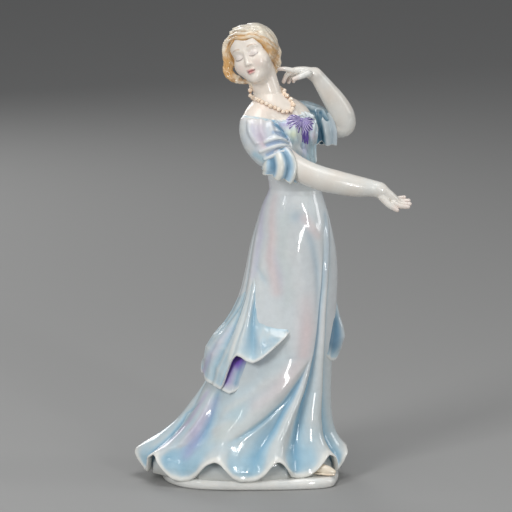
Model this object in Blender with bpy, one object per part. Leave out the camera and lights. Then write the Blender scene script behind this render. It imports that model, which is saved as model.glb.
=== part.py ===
"""Porcelain dancer figurine, 262 mm tall, as the slip-cast and hand-rolled pieces it is luted together from.

Millimetres are used throughout and turned into metres where a mesh is made. +Z is up, +X is the
viewer's right and -Y is towards the viewer. The origin is the middle of the plinth's underside.
"""

import math

import bmesh
import bpy
import numpy as np
from mathutils import Euler

MM = 0.001

# Driving dimensions.
WALL = 2.2  # thickness of a cast wall
GAP = 0.3  # slip joint between two pieces
BODY_TURN = math.radians(45)  # how far the body faces away from the viewer, towards +X
PLINTH_HEIGHT = 6.0
# The plinth's outline, squarest where the toe stands on it.
PLINTH_OUTLINE = (
    (51.3, -20), (47, -31.5), (30, -37), (0, -39.3), (-25, -37), (-38, -31), (-46.5, -19), (-50.3, -3),
    (-47.5, 14), (-36, 28), (-10, 37), (20, 38.5), (42, 33), (50, 18), (52, -1),
)
VENT_RADIUS = 3.0
WAIST_HEIGHT = 168.0
HEM_LIFT = 5.6  # how far the hem's flutes rise above, and its troughs fall below, the mean edge
HEM_FLARE = 2.4
FOOT_RING = 0.86  # the hem turns under to a foot ring this share of its size
BEAD_RADIUS = 1.15
HEAD_CENTRE = (2.4, -1.0, 245.2)
HEAD_TURN = (math.radians(-4), math.radians(-22), math.radians(-10))  # nod, lean, look

# The skirt at rest: height, left and right x, front and back y, from waist to hem.
SKIRT = (
    (168, 12.5, 41.5, -13, 13),
    (158, 7.8, 44.6, -16.5, 16.5),
    (146, 4.0, 47.6, -18.5, 19),
    (133, 0.8, 50.0, -19.5, 21),
    (120, -1.6, 50.9, -20.5, 22),
    (107, -4.8, 50.5, -21.5, 23),
    (94, -9.5, 49.8, -22.5, 25),
    (81, -14.5, 48.7, -24, 26.5),
    (68, -19.0, 47.4, -25.5, 28),
    (55, -24.5, 46.7, -27.5, 29.5),
    (44, -31.8, 46.6, -29.5, 31),
    (34, -39.5, 47.2, -31.5, 33),
    (26, -48.5, 48.6, -34, 35.5),
    (20, -57.0, 51.5, -37, 38.5),
    (15.5, -61.5, 54.8, -39.5, 41),
    (11, -62.5, 56.5, -41, 42.5),
)
# Where the hem's flutes rise and fall, in degrees round from the viewer towards +X.
HEM_CRESTS = (-154, -121, -90, -58, -16, 18, 57, 88, 118, 150, 181)
HEM_TROUGHS = (-138, -105, -73, -34, 1, 32, 69, 102, 134, 165, 193)
# Folds pressed into the skirt: height of the ridge, half width, facing, and route as x, z.
SKIRT_FOLDS = (
    (-2.6, 3.6, -1, ((31, 150), (36, 130), (40, 108), (40, 84), (35, 55), (29, 34), (25, 16))),
    (2.0, 3.4, -1, ((44, 140), (43, 112), (42, 84), (40, 55), (36, 30), (34, 14))),
    (-2.2, 2.8, -1, ((48, 132), (46.5, 108), (44.5, 80), (44, 50), (47, 30), (53, 18))),
    (-2.6, 4.0, -1, ((34, 72), (26, 54), (18, 36), (7, 16))),
    (2.4, 3.6, -1, ((37, 70), (30, 50), (23, 32), (17, 18))),
    (3.4, 6.5, -1, ((36, 76), (24, 62), (9, 48), (-8, 33))),
    (-2.2, 4.0, -1, ((28, 56), (8, 36), (-12, 24))),
    (-2.6, 5.0, -1, ((-18, 54), (-24, 38), (-34, 20))),
    (2.4, 3.2, -1, ((-22, 54), (-34, 36), (-50, 20))),
    (1.8, 7.0, -1, ((22, 148), (16, 118), (14, 92))),
    (-1.4, 4.0, -1, ((7, 146), (1, 118), (-5, 96))),
    (-2.4, 4.0, 1, ((20, 150), (12, 110), (0, 70), (-18, 30))),
    (-2.4, 4.0, 1, ((32, 150), (34, 100), (30, 60), (26, 24))),
    (2.2, 5.0, 1, ((26, 140), (22, 90), (8, 50), (-4, 22))),
    (2.2, 5.0, 1, ((40, 120), (42, 70), (44, 30))),
    (2.2, 5.0, 1, ((4, 110), (-12, 60), (-36, 26))),
)
# The overskirt: angle round the skirt, heights of its top and its edge, and how far the edge stands off.
NEAR_DRAPE = (
    (-176, 114, 74, 5), (-150, 114, 66, 8), (-124, 114, 78, 6), (-102, 114, 70, 7), (-82, 114, 62, 7),
    (-64, 112, 55, 7), (-48, 110, 51, 8), (-36, 108, 75, 9), (-22, 106, 71, 8), (-10, 102, 73, 6),
    (4, 96, 80, 3), (16, 91, 86, 1),
)
FAR_DRAPE = (
    (180, 114, 74, 5), (154, 114, 66, 8), (128, 114, 80, 7), (106, 112, 78, 8), (92, 106, 80, 7),
    (80, 96, 72, 3), (71, 88, 72, 1),
)

# The torso: height, centre x, half width across the shoulders and half depth.
TORSO = (
    (169, 26.8, 14.4, 12.2),
    (176, 25.3, 14.5, 12.0),
    (184, 23.2, 15.8, 12.4),
    (192, 21.6, 17.8, 13.0),
    (200, 20.5, 19.6, 13.4),
    (207, 19.5, 20.4, 13.6),
    (212.5, 18.0, 19.8, 12.8),
    (216.5, 16.2, 16.6, 11.2),
    (219.5, 14.4, 12.4, 9.6),
    (222, 13.0, 9.0, 8.4),
)
BREASTS = ((24.4, -15.0, 203.0), (35.6, -3.6, 203.5))
BREAST_RISE = 5.0
BREAST_RADIUS = 8.0

# Limbs as x, y, z and radius along the middle.
RIGHT_ARM = (
    (13, -23, 197.5, 6.0), (19, -26.5, 191, 6.8), (28, -29, 184.3, 7.5), (39, -30.5, 179.4, 7.4),
    (50, -30.5, 176.2, 7.0), (61, -29.5, 173.6, 6.0), (69, -28.5, 172.4, 4.9), (74, -28, 171.2, 4.6),
)
RIGHT_PALM = ((73, -28, 171.6, 4.4), (77, -27.8, 169, 4.5), (81, -27.5, 165.8, 3.9), (84, -27.3, 163.8, 2.8))
RIGHT_FINGERS = (
    ((82, -31.0, 164.2, 1.7), (86, -31.8, 162.6, 1.45), (90.2, -31.8, 162.2, 1.15)),
    ((83, -28.8, 164.4, 1.7), (87, -29.0, 163.4, 1.45), (91.2, -28.8, 163.4, 1.15)),
    ((83, -26.4, 164.8, 1.7), (87, -26.2, 164.6, 1.45), (90.6, -26.0, 164.9, 1.15)),
    ((82, -24.2, 165.0, 1.6), (85, -23.6, 165.8, 1.35), (88.2, -23.4, 166.4, 1.1)),
    ((75.5, -30.5, 167.5, 2.3), (79.5, -32.4, 163.4, 1.8), (83.8, -33.2, 160.6, 1.25)),
)
LEFT_ARM = (
    (40, 20, 207.5, 6.2), (47, 21, 202, 6.6), (52, 21, 198.6, 6.9), (55.4, 20.5, 200.4, 7.0),
    (54, 19, 207, 7.2), (49.8, 16.5, 215, 6.4), (44.5, 13.5, 223, 5.2), (40.4, 11, 229, 4.3),
    (38, 9.6, 232, 4.0),
)
LEFT_PALM = ((38, 9.6, 231.4, 3.9), (34, 8, 233.4, 3.9), (29, 6.2, 234, 3.6), (25, 5.2, 234, 2.8))
LEFT_FINGERS = (
    ((25, 3.6, 234.9, 1.6), (21, 2.4, 235.9, 1.35), (17.2, 1.4, 236.0, 1.1)),
    ((26, 5.4, 234.0, 1.6), (22.2, 4.6, 232.2, 1.4), (20.2, 4.2, 228.4, 1.15)),
    ((27, 7.2, 233.0, 1.6), (24.0, 7.2, 230.4, 1.4), (23.2, 7.0, 227.8, 1.15)),
    ((28, 8.8, 232.6, 1.5), (26, 9.2, 229.9, 1.3), (26, 9.2, 227.9, 1.1)),
    ((34, 3.8, 233.2, 2.0), (29.5, 1.4, 231.6, 1.6), (26.2, 0.8, 230.4, 1.2)),
)
NECK = (
    (13.6, 0, 213, 5.6), (13.0, 0, 218.2, 5.8), (12.4, 0, 221.4, 7.2), (10.8, 0.4, 227, 6.8),
    (7.4, 1, 236, 7.2),
)

# Sleeves as x, y, z and radius along the upper arm: first the gathered puff, then the frill below it.
RIGHT_PUFF = (
    (3.8, -17, 213, 6), (4.6, -18.6, 207.5, 10), (8, -20.5, 201, 12), (12, -22.5, 195, 11.2),
    (14.8, -24, 190.6, 8.0),
)
LEFT_PUFF = ((31, 13.5, 215, 5), (36, 16.5, 211.5, 8.8), (41, 19, 208, 8.8), (44.6, 20, 205.4, 7.2))
RIGHT_FRILL = (
    (16.2, -25, 188.6, 8.6), (18.0, -26, 185, 9.8), (20.0, -27, 180.4, 10.8), (21, -27.8, 177.2, 11.4),
)
LEFT_FRILL = ((43, 19.4, 204.6, 7.6), (44.2, 19.2, 200, 8.4), (44.8, 18.6, 194.6, 8.8), (44.8, 18, 189.6, 8.6))

# The necklace's route over the shoulders, then the ribbon's pieces on the breast.
NECKLACE = (
    (0.2, 1.5, 222.9), (0.6, -4.6, 221.0), (4.0, -9.6, 219.9), (8.6, -13.2, 218.7), (14.6, -15.4, 216.7),
    (20.6, -15.6, 214.6), (25.4, -14.2, 213.2), (27.4, -10.0, 214.6), (27.6, -3.4, 218.4),
    (24.4, 3.4, 222.0),
    (19.6, 8.4, 222.6), (12.4, 11.0, 224.8), (4.6, 8.4, 225.2),
)
BEADS = 44
BOW = (31.6, -14.6, 207.6)
RIBBON = 1.1
BOW_LOOPS = {
    "bow_loop_right": (
        (29.4, -16.2, 209.4), (26.2, -19.2, 210.6), (22.4, -20.6, 208.8), (22.6, -21.2, 205.4),
        (26.6, -19.8, 204.4),
        (29.4, -16.8, 205.6),
    ),
    "bow_loop_left": (
        (34.0, -12.4, 209.4), (37.4, -9.8, 210.6), (40.2, -7.6, 208.6), (40.6, -7.6, 204.6),
        (37.4, -10.4, 203.6),
        (34.4, -13.0, 205.2),
    ),
}
BOW_TAILS = {
    "bow_tail_right": ((30.8, -16.8, 204.4), (30, -19.4, 200.8), (30.2, -18.6, 196.4), (31, -16.6, 192.6)),
    "bow_tail_left": ((33.6, -15.2, 204.2), (35.2, -16.4, 200.4), (35.8, -15.4, 196.6), (36.2, -13.8, 194)),
}
SHOE = ((35, -22.5, 9.2, 2.5), (40, -24.2, 9.3, 2.9), (45, -25.8, 8.9, 2.4), (48.8, -26.8, 8.2, 1.5))

COLOURS = {
    "glaze_white": (0.86, 0.87, 0.86, 1),
    "glaze_blue": (0.56, 0.70, 0.80, 1),
    "skin_white": (0.87, 0.84, 0.80, 1),
    "hair_gold": (0.80, 0.62, 0.34, 1),
    "violet": (0.27, 0.17, 0.58, 1),
    "gilt": (0.80, 0.58, 0.36, 1),
    "shoe_cream": (0.84, 0.76, 0.66, 1),
}


def material(slot):
    made = bpy.data.materials.get(slot)
    if made is None:
        made = bpy.data.materials.new(slot)
        made.use_nodes = True
        shader = made.node_tree.nodes["Principled BSDF"]
        shader.inputs["Base Color"].default_value = COLOURS[slot]
        shader.inputs["Roughness"].default_value = 0.12
        shader.inputs["Metallic"].default_value = 0.0
    return made


def spline(rows, at):
    """The rows read at 0 to 1 along a Catmull-Rom curve through them."""
    rows = np.asarray(rows, float)
    padded = np.vstack([2 * rows[0] - rows[1], rows, 2 * rows[-1] - rows[-2]])
    place = np.clip(np.asarray(at, float), 0, 1) * (len(rows) - 1)
    first = np.minimum(place.astype(int), len(rows) - 2)
    t = (place - first)[..., None]
    a, b, c, d = (padded[first + k] for k in range(4))
    return 0.5 * (2 * b + (c - a) * t + (2 * a - 5 * b + 4 * c - d) * t**2 + (3 * b - a - 3 * c + d) * t**3)


def smoothstep(low, high, value):
    t = np.clip((value - low) / (high - low), 0, 1)
    return t * t * (3 - 2 * t)


def unit(vectors):
    return vectors / np.maximum(np.linalg.norm(vectors, axis=-1, keepdims=True), 1e-9)


def mesh_object(name, points, faces, slot):
    mesh = bpy.data.meshes.new(name)
    mesh.from_pydata([tuple(p) for p in np.asarray(points, float) * MM], [], faces)
    mesh.materials.append(material(slot))
    tidy = bmesh.new()
    tidy.from_mesh(mesh)
    bmesh.ops.recalc_face_normals(tidy, faces=tidy.faces)
    tidy.to_mesh(mesh)
    tidy.free()
    mesh.shade_smooth()
    made = bpy.data.objects.new(name, mesh)
    bpy.context.scene.collection.objects.link(made)
    return made


def ring_faces(rows, sides, first=0):
    """Quads between rows of points that each close into a ring."""
    return [
        (first + r * sides + k, first + r * sides + (k + 1) % sides,
         first + (r + 1) * sides + (k + 1) % sides, first + (r + 1) * sides + k)
        for r in range(rows - 1)
        for k in range(sides)
    ]


def loft(name, rings, slot):
    """A closed solid through rings of the same number of points, with a fan over each end."""
    rings = np.asarray(rings, float)
    rows, sides = rings.shape[:2]
    points = np.vstack([rings.reshape(-1, 3), rings[0].mean(0), rings[-1].mean(0)])
    faces = ring_faces(rows, sides)
    start, end = rows * sides, rows * sides + 1
    faces += [(start, (k + 1) % sides, k) for k in range(sides)]
    last = (rows - 1) * sides
    faces += [(end, last + k, last + (k + 1) % sides) for k in range(sides)]
    return mesh_object(name, points, faces, slot)


def shell(name, outer, inner, slot, wrap):
    """A closed wall between two grids of points. With wrap, each row closes into a ring."""
    rows, columns = outer.shape[:2]
    count = rows * columns
    across = columns if wrap else columns - 1
    faces = []
    for r in range(rows - 1):
        for k in range(across):
            a, b = r * columns + k, r * columns + (k + 1) % columns
            quad = (a, b, b + columns, a + columns)
            faces += [quad, tuple(count + i for i in reversed(quad))]
    for r in (0, rows - 1):
        for k in range(across):
            a, b = r * columns + k, r * columns + (k + 1) % columns
            faces.append((a, b, count + b, count + a))
    if not wrap:
        for k in (0, columns - 1):
            for r in range(rows - 1):
                a, b = r * columns + k, (r + 1) * columns + k
                faces.append((a, b, count + b, count + a))
    return mesh_object(name, np.vstack([outer.reshape(-1, 3), inner.reshape(-1, 3)]), faces, slot)


def domed(end, ahead, angle, dome):
    return end[:3] + ahead * (dome * end[3] * math.sin(angle)), ahead, end[3] * math.cos(angle)


def tube_rings(path, count, sides, flatten=1.0, flat_along=(0, 1, 0), dome=1.0):
    """Rings along a smooth route of x, y, z, radius. flatten thins them along flat_along."""
    line = spline(path, np.linspace(0, 1, count))
    ahead = unit(np.gradient(line[:, :3], axis=0))
    thin = np.asarray(flat_along, float)
    angles = np.linspace(0, 2 * math.pi, sides, endpoint=False)
    cap = np.radians((75, 45, 18))
    stops = [domed(line[0], ahead[0], a, -dome) for a in cap]
    stops += [(p[:3], t, p[3]) for p, t in zip(line, ahead)]
    stops += [domed(line[-1], ahead[-1], a, dome) for a in cap[::-1]]
    rings = []
    for centre, along, radius in stops:
        up = unit(thin - along * (thin @ along))
        side = np.cross(along, up)
        rings.append([centre + radius * (math.cos(a) * side + flatten * math.sin(a) * up) for a in angles])
    return np.array(rings)


def ellipsoid_rings(centre, radii, rows=9, sides=14):
    tilt = np.linspace(-math.pi / 2 * 0.96, math.pi / 2 * 0.96, rows)
    turn = np.linspace(0, 2 * math.pi, sides, endpoint=False)
    unit_rings = [
        [(math.cos(t) * math.cos(a), math.cos(t) * math.sin(a), math.sin(t)) for a in turn] for t in tilt
    ]
    return np.array(unit_rings) * radii + centre


def add_modifier(made, name, kind, **settings):
    modifier = made.modifiers.new(name, kind)
    for key, value in settings.items():
        setattr(modifier, key, value)
    return modifier


def triangles_in(made):
    graph = bpy.context.evaluated_depsgraph_get()
    mesh = made.evaluated_get(graph).to_mesh()
    return sum(len(p.vertices) - 2 for p in mesh.polygons)


def fused(name, parts, slot, voxel, triangles, smoothing=4):
    """Overlapping solids melted into one skin, as clay is, then thinned to a number of triangles."""
    for part in parts[1:]:
        first = len(parts[0].data.vertices)
        points = [v.co.copy() for v in parts[0].data.vertices] + [v.co.copy() for v in part.data.vertices]
        faces = [tuple(p.vertices) for p in parts[0].data.polygons]
        faces += [tuple(first + i for i in p.vertices) for p in part.data.polygons]
        parts[0].data.clear_geometry()
        parts[0].data.from_pydata(points, [], faces)
        bpy.data.objects.remove(part)
    made = parts[0]
    made.name = name
    made.data.materials.clear()
    made.data.materials.append(material(slot))
    add_modifier(made, "Melt", "REMESH", mode="VOXEL", voxel_size=voxel * MM)
    add_modifier(made, "Smooth", "SMOOTH", factor=0.5, iterations=smoothing)
    bpy.context.view_layer.update()
    share = min(1.0, triangles / triangles_in(made))
    add_modifier(made, "Thin", "DECIMATE", ratio=share, use_collapse_triangulate=True)
    return made


def grown(made, by=GAP):
    """A cutter a little larger than a piece, so that a neighbour cut by it clears it by the slip joint."""
    cutter = bpy.data.objects.new(made.name + "_clearance", made.data)
    bpy.context.scene.collection.objects.link(cutter)
    for source in made.modifiers:
        copy = cutter.modifiers.new(source.name, source.type)
        for key in source.bl_rna.properties.keys():
            if not source.is_property_readonly(key) and key not in ("name", "type"):
                setattr(copy, key, getattr(source, key))
    add_modifier(cutter, "Grow", "DISPLACE", strength=by * MM, mid_level=0.0)
    return helper(cutter)


def helper(cutter):
    cutter.hide_render = True
    cutter.display_type = "WIRE"
    return cutter


def cut(made, *cutters):
    for cutter in cutters:
        settings = {"operation": "DIFFERENCE", "solver": "EXACT", "object": cutter}
        add_modifier(made, "Clear " + cutter.name, "BOOLEAN", **settings)
    return made


def wave(degrees, crests, troughs):
    """1 at each crest and -1 at each trough, and a smooth swing between them."""
    stops = sorted([(c, 1.0) for c in crests] + [(t, -1.0) for t in troughs])
    stops = [(stops[-1][0] - 360, stops[-1][1])] + stops + [(stops[0][0] + 360, stops[0][1])]
    at, value = np.array(stops).T
    degrees = (np.asarray(degrees, float) + 180) % 360 - 180
    seat = np.clip(np.searchsorted(at, degrees, side="right") - 1, 0, len(at) - 2)
    t = (degrees - at[seat]) / (at[seat + 1] - at[seat])
    return value[seat] + (value[seat + 1] - value[seat]) * (1 - np.cos(math.pi * t)) / 2


def plain_skirt(angle, row):
    """The skirt before its folds: angle in radians from -Y towards +X, row 0 at the waist, 1 at the hem."""
    z, left, right, front, back = np.moveaxis(spline(SKIRT, row), -1, 0)
    x = (left + right) / 2 + (right - left) / 2 * np.sin(angle)
    y = np.cos(angle) * np.where(np.cos(angle) > 0, front, -back)
    return np.stack([x, y, z], -1)


def outward(surface, angle, row):
    step = 1e-3
    round_it = surface(angle + step, row) - surface(angle - step, row)
    down_it = surface(angle, np.minimum(row + step, 1)) - surface(angle, np.maximum(row - step, 0))
    return unit(np.cross(down_it, round_it))


def fold_rise(points, facing, folds):
    """How far the folds lift or press each point, for points whose surface faces y = facing."""
    rise = np.zeros(points.shape[:-1])
    for height, width, side, route in folds:
        line = spline(route, np.linspace(0, 1, 30))
        offset = points[..., None, [0, 2]] - line
        distance = np.linalg.norm(offset, axis=-1)
        nearest = distance.argmin(-1)
        fade = np.sin(math.pi * (0.5 + nearest) / 30) ** 0.6
        shown = smoothstep(0.05, 0.45, facing * side)
        rise += height * np.exp(-((distance.min(-1) / width) ** 2)) * fade * shown
    return rise


def skirt(angle, row):
    points = plain_skirt(angle, row)
    normals = outward(plain_skirt, angle, row)
    points = points + normals * fold_rise(points, normals[..., 1], SKIRT_FOLDS)[..., None]
    swing = wave(np.degrees(angle), HEM_CRESTS, HEM_TROUGHS)
    near_hem = smoothstep(0.60, 1.0, row)
    flat = unit(normals * (1, 1, 0))
    points = points + flat * (HEM_FLARE * swing * near_hem)[..., None]
    points[..., 2] += HEM_LIFT * swing * near_hem**2
    return points


def make_plinth():
    outline = spline(PLINTH_OUTLINE + PLINTH_OUTLINE[:1], np.linspace(0, 1, 49))[:-1]
    reach = np.linalg.norm(outline, axis=-1, keepdims=True)
    profile = ((0.0, 1.8), (1.2, 0.5), (3.0, 0.0), (4.6, 0.5), (5.6, 1.5), (PLINTH_HEIGHT, 3.4))
    rings = [np.column_stack([outline * (1 - inset / reach), np.full(48, z)]) for z, inset in profile]
    plinth = loft("base_plinth", rings, "glaze_white")
    rings = [ring_at((0, 16, z), VENT_RADIUS, 20) for z in (-2, PLINTH_HEIGHT + 2)]
    vent = loft("vent_cutter", rings, "glaze_white")
    return cut(plinth, helper(vent))


def ring_at(centre, radius, sides):
    turn = np.linspace(0, 2 * math.pi, sides, endpoint=False)
    return np.stack([np.cos(turn) * radius, np.sin(turn) * radius, 0 * turn], -1) + centre


def make_skirt(*clear):
    """A cast wall whose hem turns under to a foot ring, which is luted to the plinth."""
    angle, row = np.meshgrid(np.linspace(-math.pi, math.pi, 60, endpoint=False), np.linspace(0, 1, 16))
    outer = skirt(angle, row)
    inner = outer - outward(skirt, angle, row) * WALL
    hem = outer[-1]
    middle = np.array((hem[:, 0].mean(), 0, 0))
    foot = (hem - middle) * (FOOT_RING, FOOT_RING, 0) + middle + (0, 0, PLINTH_HEIGHT + GAP)
    turned = hem * 0.45 + foot * 0.55 + np.array((0, 0, 2.5))
    heel = (foot - middle) * (0.93, 0.93, 1) + middle
    inside = np.concatenate([heel[None], inner[12:0:-2], inner[:1]])
    rings = np.concatenate([outer, turned[None], foot[None], inside])
    rows, sides = rings.shape[:2]
    faces = ring_faces(rows, sides)
    last = (rows - 1) * sides
    faces += [(last + k, last + (k + 1) % sides, (k + 1) % sides, k) for k in range(sides)]
    return cut(mesh_object("skirt", rings.reshape(-1, 3), faces, "glaze_blue"), *clear)


def row_at(height):
    rows = np.linspace(0, 1, 400)
    heights = spline(SKIRT, rows)[:, 0]
    return np.interp(height, heights[::-1], rows[::-1])


def make_drape(name, stops, columns, rows=6):
    """One half of the overskirt: it lies on the skirt at the top and stands off it at its wavy edge."""
    degrees, top, foot, stand = spline(stops, np.linspace(0, 1, columns)).T
    t = np.linspace(0, 1, rows)[:, None]
    height = top + (foot - top) * t
    angle = np.radians(degrees) * np.ones_like(t)
    row = row_at(height)
    on_skirt = skirt(angle, row)
    away = outward(plain_skirt, angle, row)
    inner = on_skirt + away * (0.5 + stand * t**1.8)[..., None]
    outer = inner + away * (0.5 + (WALL - 0.7) * smoothstep(0, 0.5, t))[..., None]
    return shell(name, outer, inner, "glaze_blue", wrap=False)


def torso_ring(height, centre_x, across, deep, sides=24):
    turn = np.linspace(0, 2 * math.pi, sides, endpoint=False)
    side = np.cos(turn) * across
    front = np.sin(turn) * deep
    cos, sin = math.cos(BODY_TURN), math.sin(BODY_TURN)
    x = centre_x + side * cos + front * sin
    y = side * sin - front * cos
    return np.stack([x, y, np.full(sides, height)], -1)


def make_torso():
    rings = np.array([torso_ring(*row) for row in spline(TORSO, np.linspace(0, 1, 13))])
    facing = np.array((math.sin(BODY_TURN), -math.cos(BODY_TURN), 0.1))
    for breast in BREASTS:
        reach = np.linalg.norm((rings - breast) * (1, 1, 0.85), axis=-1)
        rings = rings + facing * (BREAST_RISE * np.exp(-((reach / BREAST_RADIUS) ** 2)))[..., None]
    spigot = [torso_ring(z, 26.9, 10.4, 9.4) for z in (WAIST_HEIGHT - 6, WAIST_HEIGHT + 0.4)]
    torso = loft("torso", list(spigot) + list(rings), "glaze_white")
    body = grown(torso)
    hollow = (
        (160, 26.9, 7.6, 6.6), (172, 26, 8.4, 7), (185, 23, 11, 8.4), (198, 20.6, 13, 9), (205, 19.6, 10, 7),
    )
    cavity = loft("torso_cavity", [torso_ring(*row, sides=10) for row in hollow], "glaze_white")
    return cut(torso, helper(cavity)), body


def in_head(points):
    """Points given from the head's middle, x to her left, -y forward and z up, in the figurine's frame."""
    turn = np.array(Euler(HEAD_TURN, "YXZ").to_matrix())
    return np.asarray(points, float) @ turn.T + HEAD_CENTRE


def head_lump(centre, radii):
    return loft("lump", in_head(ellipsoid_rings(centre, radii)), "skin_white")


def make_head():
    lumps = (
        ((0, 2.4, 5.2), (11.0, 13.0, 11.6)),
        ((0, -3.6, -5.6), (8.8, 8.4, 11.4)),
        ((5.2, -6.4, -4.4), (4.4, 4.4, 5.2)),
        ((-5.2, -6.4, -4.4), (4.4, 4.4, 5.2)),
        ((0, -8.2, -14.2), (3.8, 3.4, 3.2)),
        ((0, -7.6, 4.4), (8.6, 4.2, 6.2)),
        ((4.2, -9.0, -1.4), (3.4, 2.2, 2.4)),
        ((-4.2, -9.0, -1.4), (3.4, 2.2, 2.4)),
        ((0, -10.6, -9.4), (3.6, 2.2, 2.4)),
        ((11.0, 1.2, -2.2), (1.7, 2.6, 3.6)),
        ((-11.0, 1.2, -2.2), (1.7, 2.6, 3.6)),
    )
    parts = [head_lump(*lump) for lump in lumps]
    nose = in_head([(0, -10.4, 1.6), (0, -12.2, -2.2), (0, -13.4, -4.8)])
    parts.append(loft("nose", tube_rings(np.column_stack([nose, (1.1, 1.3, 1.6)]), 5, 8), "skin_white"))
    parts.append(loft("neck", tube_rings(NECK, 9, 20), "skin_white"))
    return fused("head", parts, "skin_white", 0.6, 900, smoothing=5)


def make_hair(head):
    lumps = (
        ((0, 2.0, 4.6), (13.4, 14.8, 13.0)),
        ((-12.2, -0.6, -2.6), (4.8, 7.4, 10.5)),
        ((-12.0, -3.0, -9.6), (4.6, 4.8, 5.4)),
        ((12.0, 1.6, -0.4), (4.2, 7.2, 9.5)),
        ((0, 8.4, -3.6), (12.0, 8.0, 11.5)),
        ((4.4, -7.4, 9.8), (7.6, 5.4, 4.6)),
        ((-5.0, -6.8, 9.8), (7.4, 5.4, 4.6)),
    )
    hair = fused("hair", [head_lump(*lump) for lump in lumps], "hair_gold", 0.7, 640, smoothing=3)
    window = helper(head_lump((0.6, -15.0, -4.2), (9.8, 13.0, 13.2)))
    window.name = "face_window"
    under = helper(head_lump((2.0, -3.0, -17.0), (9.6, 14.0, 8.0)))
    under.name = "neck_window"
    return cut(hair, grown(head, 0.4), window, under)


def make_arm(name, arm, palm, fingers):
    parts = [loft("arm", tube_rings(arm, 16, 16), "skin_white")]
    parts.append(loft("palm", tube_rings(palm, 6, 12, flatten=0.62), "skin_white"))
    parts += [loft("finger", tube_rings(finger, 6, 10), "skin_white") for finger in fingers]
    return fused(name, parts, "skin_white", 0.4, 800, smoothing=3)


def make_puff(name, route, *clear):
    rings = tube_rings(route, 7, 21, dome=0.3)
    pleats = np.linspace(0, 2 * math.pi, 21, endpoint=False)
    gather = np.linspace(0, 0.07, len(rings))[:, None] * np.cos(7 * pleats)
    centre = rings.mean(1, keepdims=True)
    puff = loft(name, centre + (rings - centre) * (1 + gather[..., None]), "glaze_blue")
    clearance = grown(puff)
    cut(puff, *clear)
    return clearance


def make_frill(name, stops, flutes, depth, *clear):
    """A gathered frill that hangs round the arm from the sleeve's band, as a fluted bell."""
    line = spline(stops, np.linspace(0, 1, 4))
    axis = unit(line[-1, :3] - line[0, :3])
    side = unit(np.cross(axis, (0, 1, 0)))
    up = np.cross(axis, side)
    turn = np.linspace(0, 2 * math.pi, 30, endpoint=False)
    swell = depth * np.linspace(0, 1, 4)[:, None] * np.cos(flutes * turn)
    spoke = np.cos(turn)[:, None] * side + np.sin(turn)[:, None] * up
    radius = line[:, 3:4] + swell
    middle = line[:, None, :3]
    outer = middle + spoke * radius[..., None] + axis * (0.5 * swell)[..., None]
    inner = outer - spoke * 1.5
    return cut(shell(name, outer, inner, "glaze_blue", wrap=True), *clear)


def make_necklace():
    """A rolled strand of slip with beads pressed on it, as one tube that swells at each bead."""
    route = np.array(NECKLACE + NECKLACE[:1])
    dense = spline(route, np.linspace(0, 1, 600))
    length = np.concatenate([[0], np.cumsum(np.linalg.norm(np.diff(dense, axis=0), axis=1))])
    steps = 3
    at = np.linspace(0, length[-1], BEADS * steps, endpoint=False)
    centres = np.stack([np.interp(at, length, dense[:, k]) for k in range(3)], -1)
    ahead = unit(np.roll(centres, -1, 0) - np.roll(centres, 1, 0))
    bead = 0.5 + (BEAD_RADIUS - 0.5) * np.sin(math.pi * (np.arange(len(at)) % steps + 0.5) / steps)
    turn = np.linspace(0, 2 * math.pi, 5, endpoint=False)
    side = unit(np.cross(ahead, (0.0, 0.0, 1.0)))
    up = np.cross(side, ahead)
    rings = centres[:, None] + bead[:, None, None] * (
        np.cos(turn)[None, :, None] * side[:, None] + np.sin(turn)[None, :, None] * up[:, None]
    )
    count = len(at)
    faces = [
        (r * 5 + k, r * 5 + (k + 1) % 5, (r + 1) % count * 5 + (k + 1) % 5, (r + 1) % count * 5 + k)
        for r in range(count)
        for k in range(5)
    ]
    return mesh_object("necklace", rings.reshape(-1, 3), faces, "gilt")


def make_ribbon(name, route, width):
    """A flat strip of clay: an outline swept along a route, thin across it."""
    path = np.column_stack([route, np.full(len(route), width)])
    return loft(name, tube_rings(path, 9, 8, flatten=0.45, flat_along=(0.7, -0.7, 0.2)), "violet")


def make_bow():
    knot = loft("bow_knot", ellipsoid_rings(BOW, (2.1, 2.1, 2.0), rows=7, sides=10), "violet")
    clear = [grown(knot)]
    for name, route in BOW_LOOPS.items():
        loop = make_ribbon(name, route, RIBBON)
        clear.append(grown(loop))
        cut(loop, clear[0])
    for name, route in BOW_TAILS.items():
        cut(make_ribbon(name, route, RIBBON * 0.85), *clear)


def clear_scene():
    for old in list(bpy.data.objects):
        bpy.data.objects.remove(old)


def main():
    clear_scene()
    plinth = make_plinth()
    shoe = loft("right_shoe", tube_rings(SHOE, 7, 12), "shoe_cream")
    make_skirt(grown(plinth), grown(shoe))
    make_drape("overskirt_near", NEAR_DRAPE, 36)
    make_drape("overskirt_far", FAR_DRAPE, 18)
    head = make_head()
    make_hair(head)
    right_arm = make_arm("right_arm", RIGHT_ARM, RIGHT_PALM, RIGHT_FINGERS)
    left_arm = make_arm("left_arm", LEFT_ARM, LEFT_PALM, LEFT_FINGERS)
    torso, body = make_torso()
    cut(torso, grown(head), grown(right_arm), grown(left_arm))
    near = make_puff("right_sleeve", RIGHT_PUFF, body, grown(right_arm))
    far = make_puff("left_sleeve", LEFT_PUFF, body, grown(left_arm))
    make_frill("right_sleeve_frill", RIGHT_FRILL, 7, 0.9, near, grown(right_arm), body)
    make_frill("left_sleeve_frill", LEFT_FRILL, 6, 1.2, far, grown(left_arm), body)
    make_necklace()
    make_bow()


main()
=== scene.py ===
"""Looks of the porcelain dancer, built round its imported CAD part.
Lengths are in millimetres until a mesh is made."""
import copy
import math

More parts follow.
